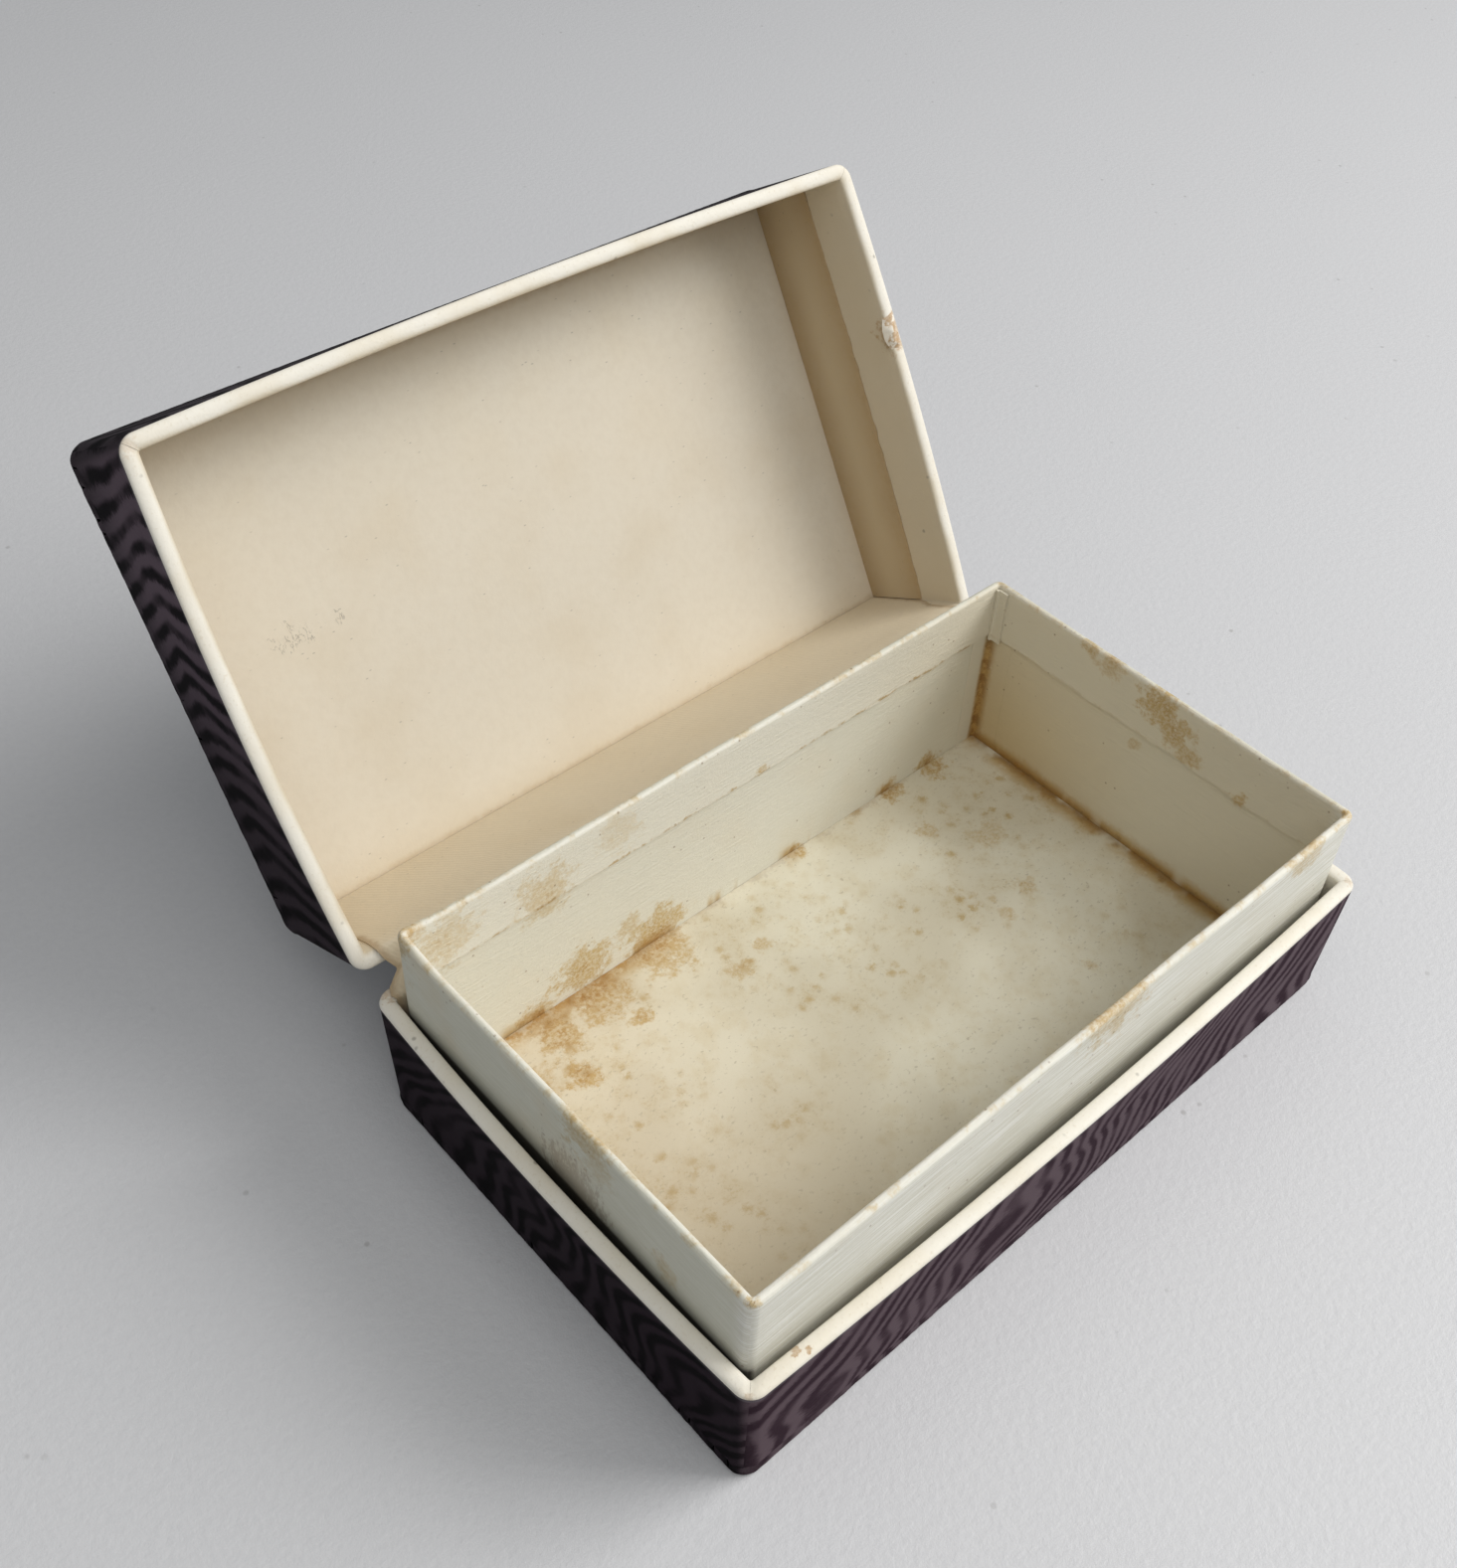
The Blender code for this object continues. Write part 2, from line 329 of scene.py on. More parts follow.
    def relief(self, height: Amount, depth: float, below: Place | None = None) -> Place:
        """Add a Bump node.

        Args:
            height: Relief, from 0 to 1.
            depth: How deep the relief is.
            below: Normal of another Bump node, under this one.

        Returns:
            The normal.
        """
        values = {"Height": height, "Distance": depth, "Strength": 1.0}
        if below is not None:
            values["Normal"] = below
        return self.node("ShaderNodeBump", None, values).outputs[0]

    def finish(self, colour: object, roughness: object, normal: Place | None = None,
               **fixed: float) -> bpy.types.Material:
        """Feed the shader and hand over the material.

        Args:
            colour: Base colour, plain or linked.
            roughness: Roughness, plain or linked.
            normal: Normal from a Bump node.
            fixed: Sockets of one value, by name with _ for a space.

        Returns:
            The finished material.
        """
        self.feed(self.shader.inputs["Base Color"], with_alpha(colour))
        self.feed(self.shader.inputs["Roughness"], roughness)
        if normal is not None:
            self.feed(self.shader.inputs["Normal"], normal)
        for key, value in fixed.items():
            self.feed(self.shader.inputs[key.replace("_", " ")], value)
        return self.material


def with_alpha(colour: object) -> object:
    """A plain colour with its fourth number, or a socket as it is."""
    return (*colour, 1.0) if isinstance(colour, tuple) and len(colour) == 3 else colour


# ---------------------------------------------------------------- finishes


@dataclass(frozen=True)
class MoirePaper:
    """Dark plum paper with watered veins, in nested loops and chevrons like figured wood, and a lighter copy
    of itself painted in as sheen on the side where the light falls.
    """

    ground: Colour = (0.066, 0.044, 0.060)
    vein: Colour = (0.003, 0.002, 0.003)
    spacing: float = 1.8 * MM
    slant: float = 0.20
    step: float = 0.55
    ripple: float = 0.0
    bend: float = 7.0
    seed: float = 0.0
    # The next five fields lay painted sheen: a lighter copy of the paper on the side where the light falls,
    # picked by an axis, a span along it and a range of heights, in two colours for ground and veins.
    painted_sheen_axis: int = 1
    painted_sheen_span: tuple[float, float] = (-1.0, -1.1)
    painted_sheen_above: tuple[float, float] = (-1.1, -1.0)
    painted_sheen: Colour = (0.106, 0.071, 0.086)
    painted_sheen_vein: Colour = (0.034, 0.017, 0.026)
    cut_edge: Colour = (0.20, 0.20, 0.21)
    rubbed: Colour = (0.16, 0.13, 0.15)
    swell_size: float = 12 * MM
    drift_size: float = 42 * MM
    ripple_length: float = 26 * MM
    fibre_size: float = 0.42 * MM
    patch_size: float = 8 * MM

    def make(self, name: str) -> bpy.types.Material:
        """Make the material; the first row of its sheet shows a worn cut edge.

        Args:
            name: The material's name.

        Returns:
            The finished material.
        """
        mix = Recipe(name)
        place = mix.sheet_place()
        along, across, _ = mix.parts(place)
        swelling = mix.stretch(place, (0.62, 1.0, 1), (self.seed, 2, 0))
        swell = mix.cloud(swelling, self.swell_size, 1.0, 0.30, 0.25)
        drift = mix.cloud(mix.stretch(place, (1, 1, 1), (self.seed, 3, 0)), self.drift_size, 0.0)
        phase = swell * self.bend + drift * 4 + along / self.spacing * self.step
        phase = phase + across / self.spacing * self.slant
        if self.ripple:
            phase = phase + (across / self.ripple_length + drift * 1.5).wave() * self.ripple
        fibre = mix.cloud(mix.stretch(place, (0.5, 1.3, 1)), self.fibre_size, 3.0, 0.65)
        line = (phase + (fibre - 0.5) * 0.45).wave().rise(0.12, 0.88)
        patches = mix.cloud(mix.stretch(place, (1, 1, 1), (1, self.seed, 0)), self.patch_size, 2.0)
        patch = patches.rise(0.34, 0.60)
        veins = (line * (0.5 + patch * 0.5) + (fibre - 0.5) * 0.55).rise(0.0, 0.95)
        colour = mix.blend(veins, self.ground, self.vein)
        # Painted sheen: on the side where the light falls, the paper turns to its lighter copy; rubbing also
        # shows more there.
        spot = mix.parts(mix.body_place())
        sheen_share = spot[self.painted_sheen_axis].rise(*self.painted_sheen_span) * spot[2].rise(*self.painted_sheen_above)
        colour = mix.blend(sheen_share, colour, mix.blend(veins, self.painted_sheen, self.painted_sheen_vein))
        edge = (across + (fibre - 0.5) * (0.3 * MM)).rise(0.50 * MM, 0.22 * MM)
        colour = mix.blend(edge * 0.30, colour, self.cut_edge)
        rubs = mix.cloud(place, 0.7 * MM, 3.0, 0.7).rise(0.64, 0.76) * patch * (0.25 + sheen_share)
        colour = mix.blend(rubs * 0.22, colour, self.rubbed)
        normal = mix.relief(fibre * 0.7 - line * 0.2, 0.05 * MM)
        return mix.finish(colour, 0.55 + veins * 0.2, normal, IOR=1.15, Specular_IOR_Level=0.3)


@dataclass(frozen=True)
class RimPaper:
    """Smooth cream paper folded over a rim, yellowed a little, with dirt in its pores, and painted shade
    deep down its inner side where it faces the gap.
    """

    ground: Colour = (0.825, 0.785, 0.695)
    aged: Colour = (0.75, 0.67, 0.52)
    pitted: Colour = (0.50, 0.38, 0.20)
    marks: tuple[Spot, ...] = ()
    # The next two fields lay painted shade, near black, down the strip's inner side in the gap beside the
    # neck: where it starts across the sheet, and how strong it is.
    gap_depth: float = 0.0
    gap_shade_amount: float = 0.15
    inner_tan: Colour | None = None

    def make(self, name: str) -> bpy.types.Material:
        """Make the material.

        Args:
            name: The material's name.

        Returns:
            The finished material.
        """
        mix = Recipe(name)
        place = mix.body_place()
        fine = mix.cloud(place, 0.35 * MM, 3.0, 0.6)
        soft = mix.cloud(place, 7 * MM, 2.0)
        colour = mix.blend(soft.rise(0.42, 0.75) * 0.45, self.ground, self.aged)
        colour = mix.blend(fine.rise(0.56, 0.74) * 0.22, colour, self.pitted)
        _, across, _ = mix.parts(mix.sheet_place())
        if self.inner_tan is not None:
            inner = (across + (soft - 0.5) * MM).rise(1.5 * MM, 2.4 * MM)
            colour = mix.blend(inner * 0.8, colour, self.inner_tan)
        if self.marks:
            blots = mix.spots(place, self.marks, mix.cloud(place, 0.8 * MM, 4.0, 0.65))
            colour = mix.blend(blots * (0.25 + fine), colour, OCHRE)
        specks = mix.cells(place, 2.3 * MM).rise(0.16, 0.05) * mix.cloud(place, 5 * MM).rise(0.56, 0.62)
        colour = mix.blend(specks * 0.55, colour, DUST)
        # Painted shade: past gap_depth across the sheet, down in the gap beside the neck, the strip goes
        # towards near black.
        if self.gap_depth:
            gap_shadow = across.rise(self.gap_depth, self.gap_depth + 0.7 * MM)
            colour = mix.blend(gap_shadow * self.gap_shade_amount, colour, GAP_SHADE)
        normal = mix.relief(fine + mix.cloud(place, 1.6 * MM, 2.0) * 1.5, 0.035 * MM)
        return mix.finish(colour, 0.52 + fine * 0.16, normal, IOR=1.45)


@dataclass(frozen=True)
class Lining:
    """Uncoated cream paper with a soft cloudy formation, tanned towards its borders."""

    ground: Colour = (0.755, 0.70, 0.59)
    tan: Colour = (0.60, 0.48, 0.30)
    # Grey multiplied in as painted shade on the lower part of the sheet.
    shade: Colour = (0.90, 0.88, 0.86)
    glue: Colour = (0.44, 0.31, 0.16)
    pulp: Colour = (0.55, 0.47, 0.36)
    worn: Colour = (0.40, 0.29, 0.17)
    width: float = 0.0
    length: float = 0.0
    tan_reach: float = 5.0 * MM
    tan_amount: float = 0.55
    marks: tuple[Spot, ...] = ()
    laid: bool = False
    joint_amount: float = 0.5
    dark_end_reach: float = 0.0
    # Height below which the sheet darkens with painted shade; 0 leaves it out.
    shade_below: float = 0.0

    def make(self, name: str) -> bpy.types.Material:
        """Make the material, for a sheet of the lining's length and width.

        Args:
            name: The material's name.

        Returns:
            The finished material.
        """
        mix = Recipe(name)
        place = mix.sheet_place()
        along, across, _ = mix.parts(place)
        formation = mix.cloud(place, 1.3 * MM, 4.0, 0.62)
        soft = mix.cloud(place, 13 * MM, 2.0)
        colour = mix.blend(soft.rise(0.40, 0.80) * 0.22, self.ground, self.tan)
        # Painted shade: the sheet darkens towards the bottom, below the given height.
        if self.shade_below:
            height = mix.parts(mix.body_place())[2] + (soft - 0.5) * (12 * MM)
            low_shade = height.rise(self.shade_below, self.shade_below - 14 * MM)
            colour = mix.stain(low_shade * 0.9, colour, self.shade)
        if self.width:
            inward = across.least(self.width - across)
            if self.length:
                inward = inward.least(along.least(self.length - along) * 1.6)
            border = (inward / self.tan_reach + (soft - 0.5) * 0.9).rise(1.0, -0.15)
            colour = mix.blend(border * self.tan_amount, colour, self.tan)
            joint = (inward + (formation - 0.5) * (1.6 * MM)).rise(1.3 * MM, -0.2 * MM)
            colour = mix.blend(joint * self.joint_amount, colour, self.glue)
        colour = mix.blend(formation.rise(0.35, 0.72) * 0.14, colour, self.pulp)
        fleck = mix.cells(mix.stretch(place, (1, 2.4, 1)), 2.6 * MM).rise(0.10, 0.03)
        colour = mix.blend(fleck * soft.rise(0.40, 0.55) * 0.45, colour, DUST)
        if self.marks:
            scribble = mix.cloud(mix.stretch(place, (1.5, 0.5, 1)), 0.9 * MM, 3.0, 0.6)
            smudge = mix.spots(place, self.marks, mix.cloud(place, 1.5 * MM, 2.0))
            strokes = abs(scribble - 0.5).rise(0.030, 0.006)
            colour = mix.blend(smudge * strokes * 0.55, colour, DUST)
        # The sheet goes darker and browner towards both ends, over this reach.
        if self.dark_end_reach:
            to_end = along.least(self.length - along) + (formation - 0.5) * (1.5 * MM)
            colour = mix.blend(to_end.rise(self.dark_end_reach, 0.2 * MM) * 0.75, colour, self.worn)
        surface = formation
        if self.laid:
            ribs = (along / (0.62 * MM) + across / (1.5 * MM) + formation).wave()
            surface = formation + ribs * 0.35
            colour = mix.blend(ribs * 0.07, colour, UMBER)
        normal = mix.relief(surface, 0.045 * MM)
        return mix.finish(colour, 0.74, normal, IOR=1.42)


@dataclass(frozen=True)
class NeckPaper:
    """Greenish cream paper of the neck, brushed along the wall, with foxing and rubbed edges; its front face
    carries painted sheen with streaks of painted highlight, its top edge a painted highlight along the
    front, and its foot painted shade in the gap.
    """

    ground: Colour = (0.655, 0.645, 0.535)
    pale: Colour = (0.76, 0.755, 0.66)
    inside: Colour = (0.70, 0.625, 0.475)
    inside_left: Colour = (0.86, 0.83, 0.735)
    patina: Colour = (0.66, 0.56, 0.38)
    # The next three colours are painted sheen on the front face, where the light falls: a lighter ground,
    # then streaks of painted highlight and of painted shade along the fibres.
    front: Colour = (0.76, 0.74, 0.655)
    front_highlight: Colour = (0.93, 0.925, 0.87)
    front_streak_shade: Colour = (0.62, 0.585, 0.47)
    # Rubbed edge colour, also used for the painted highlight along the rolled front top edge.
    rubbed: Colour = (0.86, 0.83, 0.73)
    torn_edge: Colour = (0.60, 0.44, 0.24)
    halo: Colour = (0.86, 0.73, 0.52)
    half: tuple[float, float] = (0.0, 0.0)
    top: float = 0.0
    # Height below which the cover's foot, down in the gap by the base's rim, gets painted shade.
    gap: float = 0.0
    torn: float = 0.0
    stains: tuple[Spot, ...] = ()
    fringes: tuple[Spot, ...] = ()
    joint: bool = False
    low: float = 0.0
    corner: tuple[float, float] = (0.0, 0.0)

    def make(self, name: str) -> bpy.types.Material:
        """Make the material.

        Args:
            name: The material's name.

        Returns:
            The finished material.
        """
        mix = Recipe(name)
        place, flat = mix.body_place(), mix.sheet_place()
        x, y, z = mix.parts(place)
        brushed = mix.cloud(mix.stretch(flat, (0.10, 1.6, 1)), 0.5 * MM, 4.0, 0.7)
        pores = mix.cloud(place, 0.45 * MM, 4.0, 0.7)
        soft = mix.cloud(place, 9 * MM, 2.0)
        colour = mix.blend(brushed.rise(0.38, 0.66) * 0.55, self.ground, self.pale)
        colour = mix.blend(soft.rise(0.48, 0.72) * 0.35, colour, self.patina)
        within = (self.half[0] - abs(x)).least(self.half[1] - abs(y)).rise(0.3 * MM, 0.8 * MM)
        warm = mix.blend(x.rise(4 * MM, 47 * MM) * 0.75, self.inside_left, self.inside)
        colour = mix.blend(within * 0.85, colour, warm)
        edge = (z + (pores - 0.5) * (1.1 * MM)).rise(self.top - 0.75 * MM, self.top - 0.05 * MM)
        # Painted sheen: the front face, where the light falls, gets a lighter ground and fibre streaks of
        # painted highlight and painted shade.
        front = y.rise(-self.half[1] + 3 * MM, -self.half[1] + 1 * MM)
        sheen_streaks = mix.cloud(mix.stretch(flat, (0.05, 2.2, 1)), 0.7 * MM, 5.0, 0.75)
        colour = mix.blend(front * 0.6, colour, self.front)
        colour = mix.blend(front * sheen_streaks.rise(0.46, 0.60) * 0.75, colour, self.front_highlight)
        colour = mix.blend(front * sheen_streaks.rise(0.46, 0.36) * 0.5, colour, self.front_streak_shade)
        # The top edge is lighter: rubbed paper all round, plus a stronger painted highlight along the rolled
        # front top edge.
        colour = mix.blend(edge * (0.12 + front * 0.6), colour, self.rubbed)
        worn = edge * mix.cloud(mix.stretch(place, (1, 1, 0.2)), 3 * MM, 4.0, 0.7).rise(0.48, 0.66)
        colour = mix.stain(worn * (0.2 + pores * 0.8), colour)
        ragged = mix.cloud(place, 1.9 * MM, 5.0, 0.72)
        if self.stains:
            blots = mix.spots(place, self.stains, ragged)
            colour = mix.stain(blots * (0.45 + pores.rise(0.38, 0.60) * 0.5), colour)
            heart = blots * ragged.rise(0.46, 0.64) * (0.4 + pores.rise(0.40, 0.60) * 0.6)
            colour = mix.stain(heart * 0.8, colour)
        if self.fringes:
            tips = mix.cloud(mix.stretch(place, (1.4, 1.4, 0.5)), 0.8 * MM, 4.0, 0.75)
            blots = mix.spots(place, self.fringes, tips)
            colour = mix.blend(blots, colour, UMBER)
        if self.joint:
            colour = self._foxed_joints(mix, colour, (x, y, z), ragged)
        if self.torn:
            past = abs(z - self.torn + (ragged - 0.5) * (1.8 * MM)).rise(0.42 * MM, 0.05 * MM)
            ticks = mix.cloud(mix.stretch(place, (1, 1, 0.1)), 2.6 * MM, 3.0, 0.7).rise(0.46, 0.60)
            seen = within * past * (1 - x.rise(self.half[0] - 3 * MM, self.half[0] - 1.5 * MM) * 0.7)
            colour = mix.stain(seen * (0.10 + ticks * 0.80), colour, self.torn_edge)
        # Painted shade: the cover's foot, down in the gap by the base's rim, goes towards near black, most
        # at the left end where the gap lies in deep shadow.
        if self.gap:
            end = x.rise(-self.half[0] + 1.2 * MM, -self.half[0] + 0.5 * MM)
            gap_shadow = z.rise(self.gap - 0.4 * MM, self.gap - 1.4 * MM) * (0.12 + end * 0.78)
            colour = mix.blend(gap_shadow * (1 - within), colour, GAP_SHADE)
        speck = mix.cells(place, 1.7 * MM).rise(0.13, 0.04) * soft.rise(0.47, 0.56)
        colour = mix.blend(speck * 0.6, colour, UMBER)
        normal = mix.relief(brushed * 1.8 + pores * 0.8, 0.06 * MM)
        return mix.finish(colour, 0.45 + pores * 0.25, normal, IOR=1.45)

    def _foxed_joints(self, mix: Recipe, colour: Place, at: tuple[Amount, Amount, Amount],
                      ragged: Amount) -> Place:
        """Brown mould in the joint with the floor, and up the back right corner.

        Args:
            mix: The recipe in the making.
            colour: Colour so far.
            at: Coordinates of the standing box.
            ragged: Noise that breaks the mould up.

        Returns:
            The colour with the mould over it.
        """
        x, y, z = at
        right, back = self.corner
        above = (z - self.low) + (ragged - 0.5) * (3.4 * MM)
        on_right = (x - right).rise(-1.5 * MM, -0.5 * MM)
        on_back = (y - back).rise(-1.5 * MM, -0.5 * MM)
        patches = mix.cloud(mix.point(x, y, 0.0), 8 * MM, 3.0, 0.6)
        strong = on_right * (0.25 + patches.rise(0.34, 0.54)) + on_back * patches.rise(0.50, 0.60) * 0.8
        strong = strong.least(1.0)
        low_band = above.rise(2.6 * MM, 0.1 * MM) * strong
        halo = (right - x).least(1.5 * MM).rise(1.5 * MM, 0.6 * MM) * (back - y).rise(34 * MM, 0.0)
        colour = mix.stain(halo * (z - self.low).rise(34 * MM, 0.0), colour, self.halo)
        gap = (back - y) + (ragged - 0.5) * (2.6 * MM)
        in_corner = (x - right).rise(-1.3 * MM, -0.3 * MM)
        tall = gap.rise(1.9 * MM, 0.1 * MM) * in_corner * z.rise(24 * MM, 19 * MM)
        band = low_band.most(tall)
        colour = mix.stain(band, colour)
        colour = mix.stain(band * ragged.rise(0.40, 0.62), colour)
        core = above.rise(0.7 * MM, -0.3 * MM) * strong
        return mix.blend(core.most(tall * ragged.rise(0.42, 0.60)) * 0.6, colour, UMBER)


@dataclass(frozen=True)
class FloorCardFinish:
    """The compartment's pale card, foxed along its joints and freckled in the open."""

    ground: Colour = (0.58, 0.53, 0.405)
    pale: Colour = (0.70, 0.66, 0.53)
    warm: Colour = (0.64, 0.52, 0.37)
    mottled: Colour = (0.80, 0.70, 0.50)
    freckled: Colour = (0.74, 0.60, 0.37)
    dirt: Colour = (0.26, 0.20, 0.12)
    marks: tuple[Spot, ...] = ()
    freckles: tuple[Spot, ...] = ()
    left: float = 0.0
    corner: tuple[float, float] = (0.0, 0.0)

    def make(self, name: str) -> bpy.types.Material:
        """Make the material.

        Args:
            name: The material's name.

        Returns:
            The finished material.
        """
        mix = Recipe(name)
        place = mix.body_place()
        x, y, _ = mix.parts(place)
        right, back = self.corner
        soft = mix.cloud(place, 22 * MM, 2.0, 0.5)
        pores = mix.cloud(place, 0.5 * MM, 4.0, 0.7)
        ragged = mix.cloud(place, 2.4 * MM, 5.0, 0.72)
        colour = mix.blend(soft.rise(0.40, 0.66), self.ground, self.pale)
        on_left = (x - self.left).rise(52 * MM, 0.0)
        colour = mix.blend(on_left * 0.55, colour, self.warm)
        mottle = mix.cloud(place, 3.4 * MM, 4.0, 0.62).rise(0.44, 0.68)
        colour = mix.stain(mottle * 0.22, colour, self.mottled)
        patches = mix.cloud(place, 7 * MM, 3.0, 0.6)
        from_right = (right - x) + (ragged - 0.5) * (4.4 * MM)
        from_back = (back - y) + (ragged - 0.5) * (6.0 * MM)
        at_right = from_right.rise(3.2 * MM, 0.1 * MM) * patches.rise(0.32, 0.54)
        clumps = (patches + x.rise(-6 * MM, -26 * MM) * 0.35).rise(0.50, 0.72)
        at_back = from_back.rise(3.0 * MM, 0.2 * MM) * clumps * (0.25 + ragged.rise(0.40, 0.58) * 0.75)
        band = at_right.most(at_back * 0.85)
        colour = mix.stain(band, colour)
        colour = mix.stain(band * ragged.rise(0.42, 0.60), colour)
        core = from_right.rise(1.1 * MM, -0.3 * MM).most(from_back.rise(0.7 * MM, -0.5 * MM) * 0.4)
        colour = mix.blend(core * patches.rise(0.30, 0.50) * 0.6, colour, UMBER)
        blots = mix.spots(place, self.marks, ragged)
        colour = mix.stain(blots * (0.35 + pores.rise(0.38, 0.60) * 0.6), colour)
        heart = blots * ragged.rise(0.44, 0.62) * (0.3 + pores.rise(0.42, 0.60) * 0.7)
        colour = mix.stain(heart * 0.8, colour)
        region = mix.spots(place, self.freckles, soft)
        dots = (mix.cells(place, 2.4 * MM) + (pores - 0.5) * 0.9 + (ragged - 0.5) * 0.5).rise(0.42, 0.0)
        dots = dots * patches.rise(0.36, 0.56) * 0.9 + mottle * pores.rise(0.50, 0.64) * 0.45
        colour = mix.stain((0.25 + region) * dots * 0.85, colour, self.freckled)
        dust = mix.cloud(mix.stretch(place, (1, 1.5, 1)), 0.8 * MM, 4.0, 0.75).rise(0.59, 0.66)
        colour = mix.blend(dust * 0.42 * (0.3 + soft), colour, self.dirt)
        normal = mix.relief(pores + patches * 2.0, 0.04 * MM)
        return mix.finish(colour, 0.55 + pores * 0.2, normal, IOR=1.45)


@dataclass(frozen=True)
class Chipboard:
    """Grey brown board or kraft paper with coarse fibres."""

    ground: Colour
    fibre: Colour

    def make(self, name: str) -> bpy.types.Material:
        """Make the material.

        Args:
            name: The material's name.

        Returns:
            The finished material.
        """
        mix = Recipe(name)
        place = mix.body_place()
        pulp = mix.cloud(place, 0.6 * MM, 5.0, 0.75)
        specks = mix.cells(place, 1.1 * MM).rise(0.22, 0.05)
        colour = mix.blend(pulp.rise(0.3, 0.7), self.ground, self.fibre)
        colour = mix.blend(specks * 0.5, colour, DUST)
        return mix.finish(colour, 0.88, mix.relief(pulp, 0.08 * MM), IOR=1.4)


# ---------------------------------------------------------------- sheets of paper and board


class Side(Enum):
    """A wall of the box, by its quarter turn from the front."""

    FRONT = 0
    RIGHT = 1
    BACK = 2
    LEFT = 3


ALL_ROUND = tuple(Side)


class Facing(Enum):
    """Which way a sheet's outer face looks."""

    OUT = "away from the box's middle"
    IN = "towards the box's middle"
    UP = "up"
    DOWN = "down"

    def direction(self, centre: Vector) -> Vector:
        """The way that a face with that centre looks."""
        level = Vector((centre.x, centre.y, 0))
        return {"OUT": level, "IN": -level, "UP": Vector((0, 0, 1)), "DOWN": Vector((0, 0, -1))}[self.name]


@dataclass(frozen=True)
class Unevenness:
    """The slight waviness of hand-pasted work."""

    amount: float
    length: float
    seed: float = 0.0

    def at(self, point: Vector) -> Vector:
        """How far a point is off its true place."""
        return noise.noise_vector(point / self.length + Vector((self.seed, 0, 0))) * self.amount

    def along(self, distance: float, row: float = 0.0) -> float:
        """How far an edge is off its true line at a distance along it."""
        return noise.noise(Vector((distance / self.length, row, self.seed))) * self.amount


def spread(start: float, end: float, steps: int) -> list[float]:
    """Values from start to end in even steps, both included."""
    return [start + (end - start) * step / steps for step in range(steps + 1)]


@dataclass(frozen=True)
class Plan:
    """The plan of a layer of walls: a rectangle with round corners, whose walls may bow out."""

    half_x: float
    half_y: float
    radius: float
    bow: float = 0.0
    back_shift: float = 0.0
    arc_steps: int = 6
    side_steps: int = 44
    trim: float = 0.0

    def side(self, side: Side) -> Row:
        """Points of one side, anticlockwise, from the middle of a corner to the next one.

        Args:
            side: Which side.

        Returns:
            The points, level at 0.
        """
        half_run, reach = self.half_x, self.half_y
        if side in (Side.RIGHT, Side.LEFT):
            half_run, reach = reach, half_run
        straight = half_run - self.radius
        last = [(straight + self.radius * math.sin(turn), reach - self.radius * (1 - math.cos(turn)))
                for turn in spread(0.0, math.pi / 4, self.arc_steps)]
        first = [(-along, out) for along, out in reversed(last)]
        middle = [(along, reach + self.bow * (1 - (along / straight) ** 2))
                  for along in spread(-straight, straight, self.side_steps)[1:-1]]
        points = first + middle + last
        if self.trim:
            shift = self.trim * math.sqrt(0.5)
            points[0] = (points[0][0] + shift, points[0][1] + shift)
            points[-1] = (points[-1][0] - shift, points[-1][1] + shift)
        quarter = Matrix.Rotation(math.radians(90 * side.value), 2)
        turned = [quarter @ Vector((along, -out)) for along, out in points]
        return [Vector((point.x, point.y + self.back_shift, 0)) for point in turned]

    def loop(self, sides: Sequence[Side] = ALL_ROUND) -> Row:
        """All four sides as a closed loop, or fewer as an open run.

        Args:
            sides: The sides, anticlockwise.

        Returns:
            The points, level at 0.
        """
        points: Row = []
        for side in sides:
            points += self.side(side) if not points else self.side(side)[1:]
        return points[:-1] if len(sides) == len(ALL_ROUND) else points

    def flat_rows(self, rows: int, columns: int) -> list[Row]:
        """Rows that fill the plan, each as long as the round corners let it be.

        Args:
            rows: Steps between the corners' arcs, front to back.
            columns: Steps along each row.

        Returns:
            The rows, level at 0.
        """
        straight = self.half_y - self.radius
        arc = [self.radius * math.sin(turn) for turn in spread(0.0, math.pi / 2, self.arc_steps)]
        middle = spread(-straight, straight, rows)[1:-1]
        levels = [-straight - rise for rise in reversed(arc)] + middle + [straight + rise for rise in arc]
        filled = []
        for level in levels:
            past = max(abs(level) - straight, 0.0)
            reach = self.half_x - self.radius + math.sqrt(max(self.radius ** 2 - past ** 2, 0.0))
            xs = spread(-reach, reach, columns)
            filled.append([Vector((x, level + self.back_shift, 0)) for x in xs])
        return filled


def distances(points: Row) -> list[float]:
    """How far along the run each point is.

    Args:
        points: The run, in order.

    Returns:
        One distance for each point, from 0.
    """
    totals = [0.0]
    for before, after in zip(points, points[1:]):
        totals.append(totals[-1] + (after - before).length)
    return totals


